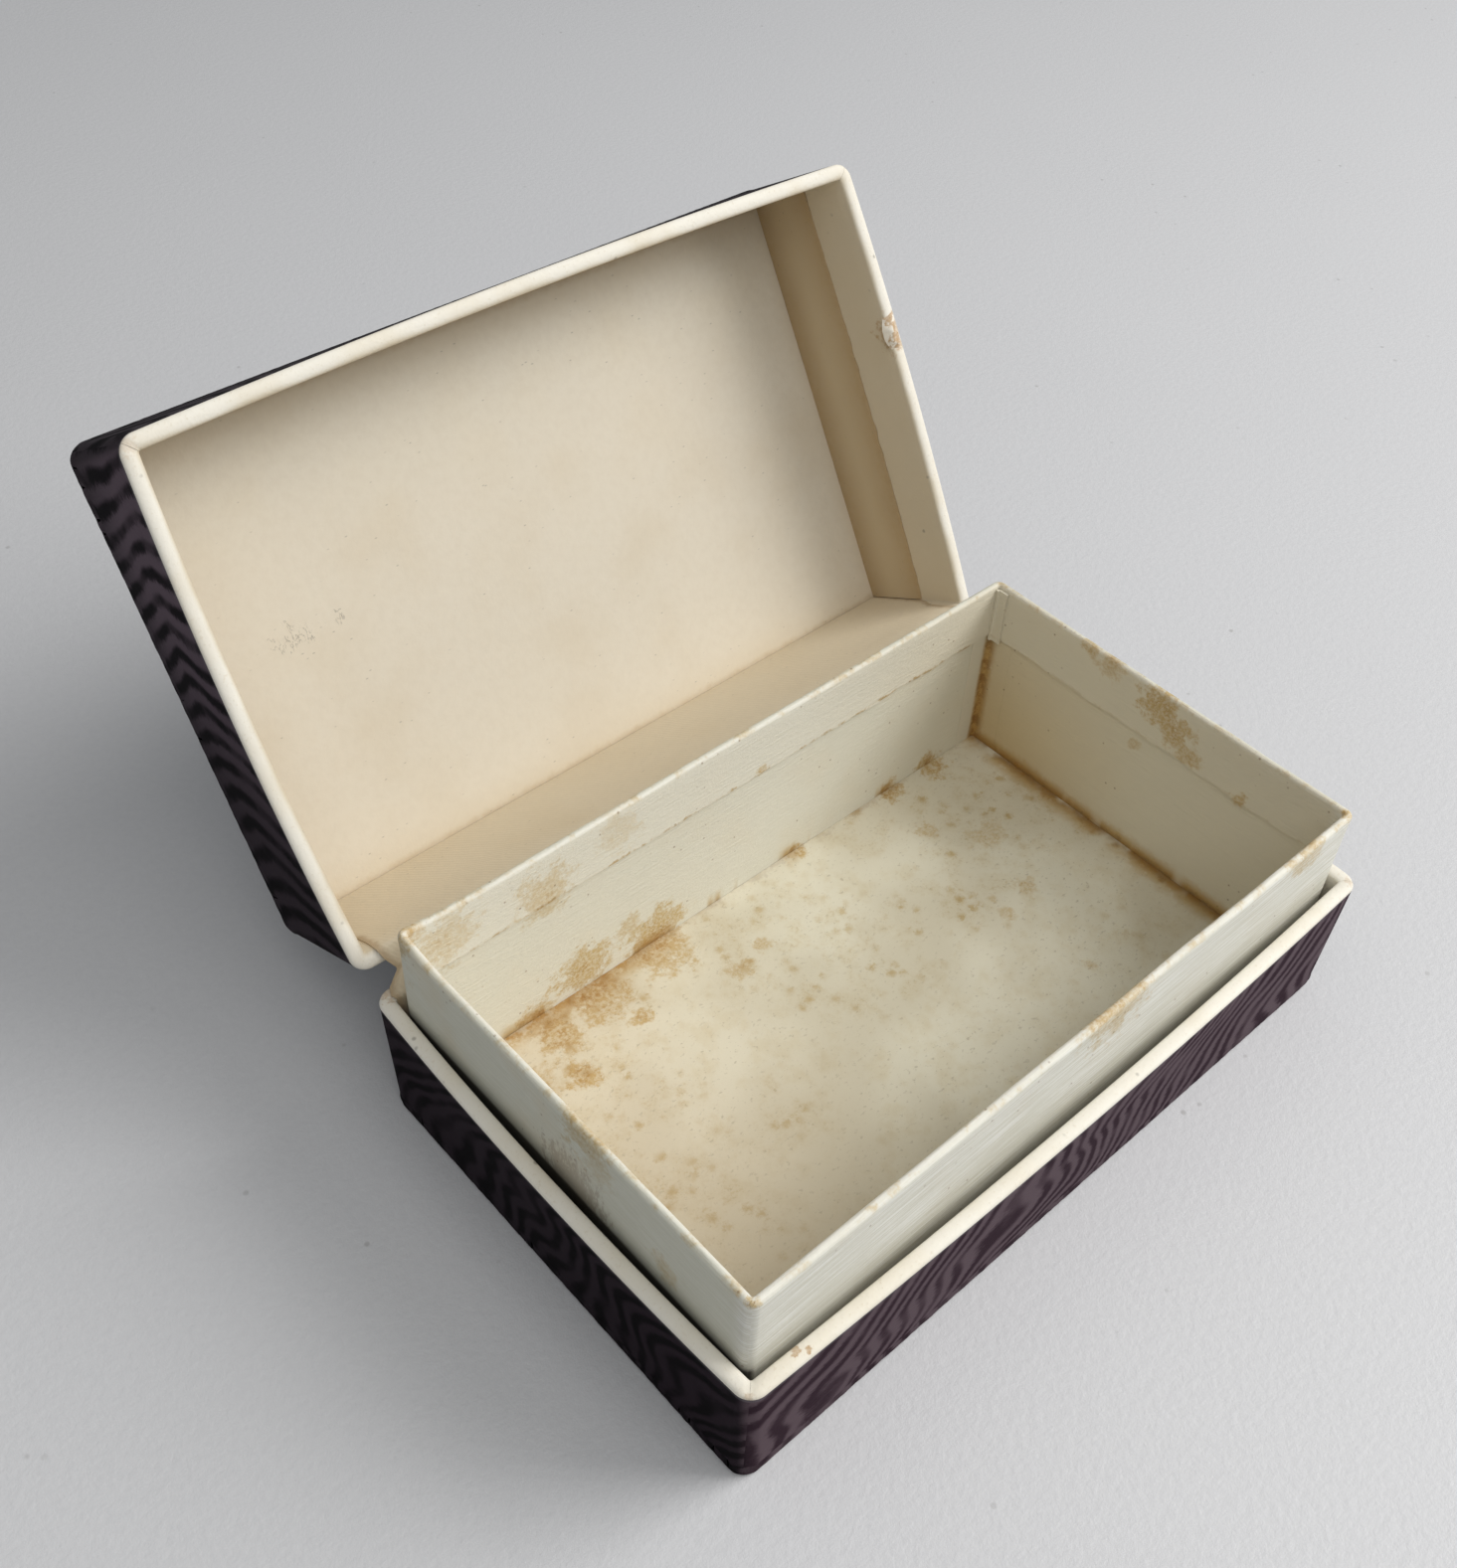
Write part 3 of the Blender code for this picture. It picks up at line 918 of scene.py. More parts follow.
@dataclass
class Sheet:
    """A sheet of paper or board folded through rows of points, which lie on its outer face."""

    name: str
    rows: list[Row]
    caliper: float
    facing: Facing
    closed: bool = False
    crisp: float = 38.0

    def build(self, swing: Matrix | None = None) -> bpy.types.Object:
        """Make the sheet's object.

        Args:
            swing: Where the sheet goes from where its rows lie.

        Returns:
            The sheet, with its thickness in its mesh.
        """
        mesh = bmesh.new()
        grid = [[mesh.verts.new(point) for point in row] for row in self.rows]
        lay = mesh.loops.layers.uv.new(LAY)
        first = self.rows[0] + self.rows[0][:1] if self.closed else self.rows[0]
        along = distances(first)
        middle = len(self.rows[0]) // 3
        across = distances([row[middle] for row in self.rows])
        for r in range(len(grid) - 1):
            for c in range(len(along) - 1):
                corners = [(r, c), (r, c + 1), (r + 1, c + 1), (r + 1, c)]
                width = len(grid[r])
                face = mesh.faces.new([grid[i][j % width] for i, j in corners])
                for loop, (i, j) in zip(face.loops, corners):
                    loop[lay].uv = (along[j], across[i])
        mesh.normal_update()
        mesh.faces.ensure_lookup_table()
        probe = mesh.faces[len(along) // 3]
        if probe.normal.dot(self.facing.direction(probe.calc_center_median())) < 0:
            bmesh.ops.reverse_faces(mesh, faces=mesh.faces)
        data = bpy.data.meshes.new(self.name)
        mesh.to_mesh(data)
        mesh.free()
        return self._thicken(data, swing)

    def _thicken(self, data: bpy.types.Mesh, swing: Matrix | None) -> bpy.types.Object:
        """Give the open surface its caliper, its place and its smooth shading.

        Args:
            data: The open surface.
            swing: Where it goes from where it lies.

        Returns:
            The finished object.
        """
        piece = bpy.data.objects.new(self.name, data)
        bpy.context.scene.collection.objects.link(piece)
        body = piece.modifiers.new("caliper", "SOLIDIFY")
        body.thickness = self.caliper
        body.offset = -1
        body.use_even_offset = True
        body.use_quality_normals = True
        evaluated = piece.evaluated_get(bpy.context.evaluated_depsgraph_get())
        solid = bpy.data.meshes.new_from_object(evaluated)
        piece.modifiers.clear()
        piece.data = solid
        bpy.data.meshes.remove(data)
        solid.name = self.name
        if swing is not None:
            solid.transform(swing)
        solid.shade_smooth()
        solid.set_sharp_from_angle(angle=math.radians(self.crisp))
        return piece


def settle(piece: bpy.types.Object, body: str, slot: str, finish: bpy.types.Material,
           *stands_for: str) -> None:
    """Dress a piece, put it on its body, and let it stand for its CAD nodes.

    Args:
        piece: The finished piece.
        body: The body that it moves with.
        slot: Material slot of the record. Not used.
        finish: Its material.
        stands_for: Names of the CAD nodes that it replaces.
    """
    piece.data.materials.clear()
    piece.data.materials.append(finish)
    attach(piece, body)
    if stands_for:
        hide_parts(*stands_for)


def dress_node(node: str, finish: bpy.types.Material) -> None:
    """Give a finish to a CAD node that shows as it is.

    Args:
        node: Its name.
        finish: Its material.
    """
    part = frame["nodes"][node]
    part.data.materials.clear()
    part.data.materials.append(finish)


# ---------------------------------------------------------------- the box's sub-assemblies


GLUE = 0.12 * MM
SHARP_FOLD = 0.25 * MM


@dataclass(frozen=True)
class Hinge:
    """The lid's joint, as the record gives it."""

    pivot: Vector
    axis: Vector
    travel: float

    @classmethod
    def from_record(cls) -> "Hinge":
        """Read the one joint of the record.

        Returns:
            The hinge.
        """
        joint = frame["joints"][0]
        travel = math.radians(joint["range_deg"][1])
        return cls(Vector(joint["pos_m"]), Vector(joint["axis"]), travel)

    def opening(self) -> Matrix:
        """From where a lid piece lies on the closed box to where it stands at rest."""
        turn = Matrix.Rotation(-self.travel, 4, self.axis)
        return Matrix.Translation(self.pivot) @ turn @ Matrix.Translation(-self.pivot)

    def closed_box(self, node: str) -> tuple[Vector, Vector]:
        """Size a lid node as it lies on the closed box.

        Args:
            node: Its name.

        Returns:
            Its lowest and highest corners.
        """
        back = self.opening().inverted()
        points = [back @ vertex.co for vertex in frame["nodes"][node].data.vertices]
        low = Vector([min(point[i] for point in points) for i in range(3)])
        high = Vector([max(point[i] for point in points) for i in range(3)])
        return low, high


@dataclass
class Tray:
    """A board tray with a patterned cover, cream rims and a sheet over its closed end."""

    body: str
    half_length: float
    half_width: float
    depth: float
    closed_end: float
    rise: int
    turn_in: float
    swing: Matrix | None = None
    radius: float = 2.2 * MM
    bow: float = 0.8 * MM
    draft: float = 0.5 * MM
    wall: float = 1.91 * MM
    paper: float = 0.2 * MM
    bead: float = 0.5 * MM
    bead_drop: float = 0.6 * MM
    bead_steps: int = 12
    fold: float = 0.45 * MM
    flange: float = 10 * MM
    flange_start: float = 0.6 * MM
    cover_steps: int = 150
    wall_rows: int = 14
    fold_rows: int = 5
    rim_steps: int = 90
    turn_in_rows: int = 4
    sheet_grid: tuple[int, int] = (30, 48)
    sheet_margin: float = 0.9 * MM
    pinch: float = 0.09 * MM
    pinch_reach: float = 0.55 * MM
    mitre: float = 0.01 * MM
    rim_wave: Unevenness = Unevenness(0.10 * MM, 17 * MM, 3.0)
    nicks: Unevenness = Unevenness(0.10 * MM, 0.9 * MM, 8.0)
    nick_reach: float = 1.2 * MM

    def plan(self, inset: float, height: float, steps: int = Plan.side_steps, trim: float = 0.0) -> Plan:
        """Plan of a layer of the walls.

        Args:
            inset: How far it stands in from the cover.
            height: Its height above the closed end.
            steps: Steps along each side.
            trim: How far each side's ends are cut back.

        Returns:
            The plan.
        """
        lean = height / self.depth
        margin = inset + self.draft * (1 - lean)
        radius = max(self.radius - inset, SHARP_FOLD)
        return Plan(self.half_length - margin, self.half_width - margin, radius, self.bow * lean,
                    side_steps=steps, trim=trim)

    def raise_row(self, points: Row, height: float | Sequence[float]) -> Row:
        """Plan points at a height, or each at its own, above the closed end."""
        heights = height if isinstance(height, Sequence) else [height] * len(points)
        return [Vector((p.x, p.y, self.closed_end + self.rise * h)) for p, h in zip(points, heights)]

    def side_wrap(self, finish: MoirePaper) -> None:
        """The patterned paper round the walls, with its edge turned over the closed end.

        Args:
            finish: How it looks.
        """
        high, level = self.depth - self.bead_drop - GLUE, self.paper + GLUE
        section = [(0.0, height) for height in spread(high, self.fold, self.wall_rows)]
        section += [(self.fold * (1 - math.cos(turn)), level + self.fold * (1 - math.sin(turn)))
                    for turn in spread(0.0, math.pi / 2, self.fold_rows)[1:]]
        section += [(self.fold + self.flange_start, level), (self.flange, level)]
        rows = []
        for inset, height in section:
            ring = self.plan(inset, height, self.cover_steps).loop()
            near_fold = max(0.0, 1 - height / self.nick_reach) if inset <= self.fold else 0.0
            ring = [p + self.nicks.at(p) * near_fold for p in ring]
            rows.append(self.raise_row(ring, height))
        node = f"{self.body}_side_wrap"
        sheet = Sheet(f"{self.body}_cover_paper", rows, self.paper, Facing.OUT, closed=True)
        piece = sheet.build(self.swing)
        settle(piece, self.body, "moire_paper", finish.make(node), node)

    def rim_strip(self, side: Side, finish: bpy.types.Material) -> None:
        """One wall's cream strip, folded over its rim and pinched in at its mitres.

        Args:
            side: Which wall.
            finish: Its material.
        """
        half, shoulder = self.wall / 2, self.depth - self.bead
        section = [(0.0, self.depth - self.bead_drop, 0.0)]
        section += [(half - half * math.cos(turn), shoulder + self.bead * math.sin(turn), math.sin(turn))
                    for turn in spread(0.0, math.pi, self.bead_steps)]
        section += [(self.wall, height, 0.0)
                    for height in spread(shoulder, self.depth - self.turn_in, self.turn_in_rows)[1:]]
        rows = []
        for inset, height, crown in section:
            run = self.plan(inset, height, self.rim_steps, self.mitre).side(side)
            along = distances(run)
            heights = []
            for at in along:
                to_end = min(at, along[-1] - at)
                sink = self.pinch * math.exp(-((to_end / self.pinch_reach) ** 2))
                wave = self.rim_wave.along(at, side.value * 7.0 + self.rise)
                heights.append(height - crown * (sink + abs(wave)))
            rows.append(self.raise_row(run, heights))
        place = side.name.lower()
        piece = Sheet(f"{self.body}_rim_bead_{place}", rows, self.paper, Facing.OUT).build(self.swing)
        settle(piece, self.body, "cream_paper", finish, f"{self.body}_rim_strip_{place}")

    def closing_sheet(self, node: str, name: str, slot: str, finish: bpy.types.Material,
                      facing: Facing) -> None:
        """The sheet pasted over the closed end.

        Args:
            node: CAD node that it replaces.
            name: The piece's name.
            slot: Material slot of the record.
            finish: Its material.
            facing: Which way its outer face looks.
        """
        rows = self.plan(self.sheet_margin, 0.0).flat_rows(*self.sheet_grid)
        rows = [self.raise_row(row, 0.0) for row in rows]
        piece = Sheet(name, rows, self.paper, facing).build(self.swing)
        settle(piece, self.body, slot, finish, node)

    def hidden_boards(self) -> None:
        """Dress the board and its corner stays, which show only at the joints."""
        board = Chipboard((0.40, 0.345, 0.26), (0.52, 0.47, 0.38)).make(f"{self.body}_chipboard")
        stay = Chipboard((0.44, 0.31, 0.18), (0.52, 0.39, 0.24)).make(f"{self.body}_kraft")
        dress_node(f"{self.body}_board", board)
        for end in ("front", "back"):
            for hand in ("left", "right"):
                dress_node(f"{self.body}_corner_stay_{end}_{hand}", stay)


@dataclass
class Base:
    """The base tray, standing on its underside sheet."""

    turn_in: float = 5.5 * MM
    # The next two fields set the painted shade down the rims' inner sides in the gap by the neck; the left
    # rim's is near black.
    gap_depth: float = 2.2 * MM
    gap_shade_amount: float = 0.95
    # Width of the edge of the painted sheen on the front wall.
    sheen_reach: float = 1.2 * MM
    cover: Colour = (0.013, 0.005, 0.011)
    underside: Colour = (0.60, 0.555, 0.455)
    marks: tuple[Spot, ...] = marks_at(
        0, 0, 0, (-43.7, -30.3, 19.2, 0.75, 0.8), (-42.6, -31.0, 19.2, 0.45, 0.9),
        (-48.6, 30.4, 19.1, 1.7, 0.55), (49.6, -30.6, 19.1, 0.9, 0.4), (-50.2, -30.8, 19.0, 0.7, 0.45))

    def __post_init__(self) -> None:
        """Read the tray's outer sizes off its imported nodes."""
        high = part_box("base_side_wrap")[1]
        rim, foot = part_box("base_rim_strip_front")[1].z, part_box("base_underside_sheet")[0].z
        self.tray = Tray("base", high.x - Tray.bow, high.y - Tray.bow, rim, foot, 1, turn_in=self.turn_in)

    def build(self) -> None:
        """Shape and dress everything pasted on the base."""
        face = -self.tray.half_width + self.tray.draft
        # The front wall, where the light falls, carries painted sheen: a lighter copy of the paper.
        self.tray.side_wrap(MoirePaper(ground=self.cover, seed=2.0, bend=5.6,
                                       painted_sheen_span=(face + self.sheen_reach, face)))
        # All rims get faint painted shade down in the gap by the neck; the left rim, whose gap lies in deep
        # shadow, gets near-black painted shade.
        rim = RimPaper(marks=self.marks, gap_depth=self.gap_depth).make("base_rim_cream")
        gap_shaded = RimPaper(marks=self.marks, gap_depth=self.gap_depth,
                         gap_shade_amount=self.gap_shade_amount).make("base_rim_cream_gap_shade")
        for side in Side:
            self.tray.rim_strip(side, gap_shaded if side is Side.LEFT else rim)
        under = Lining(ground=self.underside).make("underside_cream")
        self.tray.closing_sheet("base_underside_sheet", "base_underside_paper", "underside_paper", under,
                                Facing.DOWN)
        self.tray.hidden_boards()
        log.info("base: cover, four rim beads, underside paper")


@dataclass
class Neck:
    """The raised neck with its turned-in cover, its bent board and the card on its floor."""

    paper: float = 0.15 * MM
    board: float = 0.45 * MM
    radius: float = 1.2 * MM
    bead: float = 0.50 * MM
    turn_in: float = 8.5 * MM
    tape_reach: float = 4.5 * MM
    tab_width: float = 1.9 * MM
    steps: int = 90
    wall_rows: int = 24
    bead_rows: int = 10
    turn_in_rows: int = 6
    board_rows: int = 14
    board_drop: float = 0.3 * MM
    strip_rows: int = 8
    tape_caliper: float = 0.04 * MM
    tape_gap: float = 0.05 * MM
    tape_drop: float = 0.4 * MM
    tab_caliper: float = 0.34 * MM
    tab_gap: float = 0.36 * MM
    tab_end: float = 0.3 * MM
    tab_drop: float = 0.7 * MM
    card_grid: tuple[int, int] = (40, 64)
    card_gap: float = 0.03 * MM
    card_lift: float = 0.12 * MM
    card_warp: Unevenness = Unevenness(0.10 * MM, 24 * MM, 9.0)
    roll: float = 0.10 * MM
    roll_drop: float = 0.9 * MM
    roll_reach: float = 0.6 * MM
    lump: Vector = Vector((0.10 * MM, -0.06 * MM, 0.70 * MM))
    lump_reach: float = 4.5 * MM
    sway: Unevenness = Unevenness(0.12 * MM, 19 * MM, 5.0)
    top_wave: Unevenness = Unevenness(0.14 * MM, 8 * MM, 1.0)
    tear: Unevenness = Unevenness(0.45 * MM, 5 * MM, 11.0)
    fray: Unevenness = Unevenness(0.22 * MM, 0.9 * MM, 17.0)
    # How far below the base's rim the painted shade on the neck cover's foot is set.
    gap_drop: float = 0.6 * MM

    def __post_init__(self) -> None:
        """Read the neck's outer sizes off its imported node."""
        low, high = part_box("neck_wrap")
        self.low, self.top = low.z, high.z
        self.half_x, self.half_y = (high.x - low.x) / 2, (high.y - low.y) / 2
        self.shift = (high.y + low.y) / 2
        self.board_face = self.paper + GLUE + self.board
        self.wall = self.board_face + GLUE + self.paper

    def plan(self, inset: float) -> Plan:
        """Plan of a layer of the neck, by how far it stands in from the cover."""
        radius = max(self.radius - inset, SHARP_FOLD)
        return Plan(self.half_x - inset, self.half_y - inset, radius, 0.0, self.shift, side_steps=self.steps)

    def place(self, points: Row, height: float | Sequence[float]) -> Row:
        """Plan points at a height, off true as the whole neck is.

        Args:
            points: The plan points.
            height: One height, or one for each point.

        Returns:
            The placed points.
        """
        heights = height if isinstance(height, Sequence) else [height] * len(points)
        placed = []
        for point, level in zip(points, heights):
            spot = Vector((point.x, point.y, level))
            share = (level - self.low) / (self.top - self.low)
            off = self.sway.at(spot) * share
            to_corner = math.hypot(point.x + self.half_x, point.y - self.shift - self.half_y)
            raised = math.exp(-((to_corner / self.lump_reach) ** 2)) * share ** 3
            placed.append(spot + Vector((off.x, off.y, 0)) + self.lump * raised)
        return placed

    def finish(self, name: str, joint: bool) -> bpy.types.Material:
        """Neck paper or the board behind it, with this neck's stains.

        Args:
            name: The material's name.
            joint: Whether it is the board, which meets the floor.

        Returns:
            The material.
        """
        left, right = -self.half_x, self.half_x - self.wall
        front, back = self.shift - self.half_y, self.shift + self.half_y - self.wall
        top = self.top
        stains = (
            marks_at(left, 0, top, (0, -4, 0, 5, 0.75), (0, -6, -4, 3.5, 0.35), (0, -16.7, -9.4, 2.6, 0.5))
            + marks_at(left, back, top, (0, 0, -0.6, 2.6, 0.8))
            + marks_at(left, front, top, (0, 0, 0, 1.5, 1.0))
            + marks_at(0, front, top, (4, 0, 0.2, 6.5, 0.75), (39, 0, 0, 4.5, 0.75))
            + marks_at(-front, front, top, (0, 0, 0, 1.0, 0.2))
            + marks_at(self.half_x, front, top, (0, 0, 0, 1.5, 1.0))
            + marks_at(self.half_x, back, top, (0, 0, 0, 1.6, 0.8))
            + marks_at(right, 0, top, (0, -0.4, -2.6, 3.8, 1.0), (0, -3.4, -4.6, 3.4, 0.9),
                       (0, -6.4, -7, 2.2, 0.8), (0, 8, -1, 2.6, 0.6), (0, 11.6, -0.4, 1.9, 0.8),
                       (0, -14.5, -8.3, 1.4, 0.9), (0, 2, -11, 1.2, 0.6))
            + marks_at(0, back, top, (-29, 0, -6.5, 4.8, 0.65), (-43, 0, -4, 5.5, 0.55),
                       (-18.5, 0, -3.5, 4, 0.35), (4.5, 0, -8, 1.3, 0.8)))
        low_marks = marks_at(0, back, self.low, (-24, 0, 4, 5.4, 1.0), (-12.6, 0, 2.2, 5.6, 1.0),
                             (-17, 0, 6.8, 2.6, 0.7), (12.4, 0, 0.4, 1.5, 1.0), (30, 0, 0.6, 2.2, 1.0),
                             (38, 0, 0.9, 2.8, 1.0), (-31, 0, 1, 3, 0.8))
        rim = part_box("base_rim_strip_left")[1].z
        fringes = marks_at(left, 0, rim, (0, -2, -0.3, 6, 0.35))
        fringes += marks_at(left, front, top, (0, 0, 0.1, 0.9, 0.7))
        return NeckPaper(top=top, stains=stains + (low_marks if joint else ()),
                         fringes=() if joint else fringes, joint=joint,
                         low=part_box("compartment_floor_card")[1].z,
                         corner=(self.half_x - self.board_face, self.shift + self.half_y - self.board_face),
                         half=(self.half_x, self.half_y), torn=top - self.turn_in,
                         gap=0.0 if joint else rim - self.gap_drop).make(name)

    def cover(self, finish: bpy.types.Material) -> None:
        """The cream paper up the outside, over the top and torn off along its turned-in edge.

        Args:
            finish: Its material.
        """
        half = self.wall / 2
        shoulder = self.top - self.bead
        section = [(0.0, height) for height in spread(self.low, shoulder, self.wall_rows)[:-1]]
        section += [(half - half * math.cos(turn), shoulder + self.bead * math.sin(turn))
                    for turn in spread(0.0, math.pi, self.bead_rows)]
        section += [(self.wall, height)
                    for height in spread(shoulder, self.top - self.turn_in, self.turn_in_rows)[1:]]
        rows = []
        for index, (inset, height) in enumerate(section):
            from_roll = (self.top - self.roll_drop - height) / self.roll_reach
            rolled = math.exp(-(from_roll ** 2)) if inset < half else 0.0
            ring = self.plan(inset - self.roll * rolled).loop()
            along = distances(ring)
            share = ((height - self.low) / (self.top - self.low)) ** 4
            heights = [height - abs(self.top_wave.along(at)) * share for at in along]
            if index == len(section) - 1:
                heights = [h + self.tear.along(at) + self.fray.along(at) for h, at in zip(heights, along)]
            rows.append(self.place(ring, heights))
        piece = Sheet("neck_cover", rows, self.paper, Facing.OUT, closed=True).build()
        settle(piece, "base", "aged_neck_paper", finish, "neck_wrap")

    def inner_board(self, finish: bpy.types.Material) -> None:
        """The bent board, whose inner face shows under the turned-in edge.

        Args:
            finish: Its material.
        """
        high = self.top - self.paper - GLUE - self.board_drop
        ring = self.plan(self.board_face).loop()
        rows = [self.place(ring, height) for height in spread(high, self.low, self.board_rows)]
        piece = Sheet("neck_bent_board", rows, self.board, Facing.IN, closed=True).build()
        settle(piece, "base", "aged_neck_paper", finish, "neck_board")

    def corner_run(self, inset: float, before: float, after: float) -> Row:
        """The run round the back right corner.

        Args:
            inset: How far it stands in from the cover.
            before: Its reach on the end wall.
            after: Its reach on the back wall.

        Returns:
            Its points, level at 0.
        """
        plan = self.plan(inset)
        run = plan.loop((Side.RIGHT, Side.BACK))
        along = distances(run)
        bend = distances(plan.side(Side.RIGHT))[-1]
        return [point for point, at in zip(run, along) if bend - before < at < bend + after]

    def joint_tape(self, finish: bpy.types.Material) -> None:
        """Tape inside the corner where the bent board meets itself.

        Args:
            finish: Its material.
        """
        high, low = self.top - self.turn_in + self.tape_drop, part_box("compartment_floor_card")[1].z
        run = self.corner_run(self.board_face + self.tape_gap, self.tape_reach, self.tape_reach)
        rows = [self.place(run, height) for height in spread(high, low, self.strip_rows)]
        piece = Sheet("neck_corner_tape", rows, self.tape_caliper, Facing.IN).build()
        settle(piece, "base", "aged_neck_paper", finish, "neck_joint_tape")

    def corner_tab(self, finish: bpy.types.Material) -> None:
        """The end of the back wall's turned-in paper, lapped onto the end wall.

        Args:
            finish: Its material.
        """
        run = self.corner_run(self.wall + self.tab_gap, self.tab_width, self.tab_end)
        high, low = self.top - self.bead * 1.2, self.top - self.turn_in - self.tab_drop
        levels = spread(high, low, self.strip_rows)
        rows = [self.place(run, level) for level in levels[:-1]]
        frayed = [levels[-1] + self.fray.along(place * MM) for place in range(len(run))]
        rows.append(self.place(run, frayed))
        piece = Sheet("neck_turn_in_tab", rows, self.tab_caliper, Facing.IN).build()
        settle(piece, "base", "aged_neck_paper", finish)

    def floor_card(self) -> None:
        """The card on the compartment's floor, a little off flat."""
        low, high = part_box("compartment_floor_card")
        inset = self.board_face + self.card_gap
        plan = Plan(self.half_x - inset, self.half_y - inset, SHARP_FOLD, 0.0, self.shift)
        rows = [[Vector((p.x, p.y, high.z - abs(self.card_warp.at(p).z))) for p in row]
                for row in plan.flat_rows(*self.card_grid)]
        piece = Sheet("compartment_card", rows, high.z - low.z - self.card_lift, Facing.UP).build()
        marks = marks_at(
            0, 0, high.z, (-32.3, 17.6, 0, 2.6, 1.0), (-31, 24, 0, 3.8, 0.9), (-21.4, 19.7, 0, 1.9, 0.9),
            (-24, 25.5, 0, 5.2, 0.9), (-13, 26.5, 0, 5.5, 0.85), (-2.6, 18.9, 0, 1.6, 0.7),
            (-7.2, 17.3, 0, 1.9, 0.7), (12.4, 27.4, 0, 1.5, 1.0), (30, 27.2, 0, 2.3, 1.0),
            (38.3, 27.4, 0, 3, 1.0), (28.5, 18.8, 0, 2, 0.6), (34.9, 12.9, 0, 3.4, 0.5),
            (31.7, 3.2, 0, 1.9, 0.6), (26.1, 1.5, 0, 1.5, 0.6), (27.7, -11.3, 0, 1.2, 0.6),
            (-38, 20, 0, 4, 0.5))
        freckles = marks_at(0, 0, high.z, (-28, 14, 0, 20, 0.9), (-38, -6, 0, 13, 0.4), (32, 14, 0, 22, 1.0),
                            (4, 16, 0, 16, 0.8), (34, -10, 0, 12, 0.5))
        finish = FloorCardFinish(marks=marks, freckles=freckles, left=low.x,
                                 corner=(high.x, high.y)).make("foxed_card")
        settle(piece, "base", "aged_neck_paper", finish, "compartment_floor_card")

    def build(self) -> None:
        """Shape and dress the neck and its floor."""
        outer = self.finish("neck_paper", joint=False)
        inner = self.finish("neck_board_face", joint=True)
        self.cover(outer)
        self.inner_board(inner)
        self.joint_tape(inner)
        self.corner_tab(outer)
        self.floor_card()
        log.info("neck: cover, bent board, corner tape, turned-in tab, floor card")


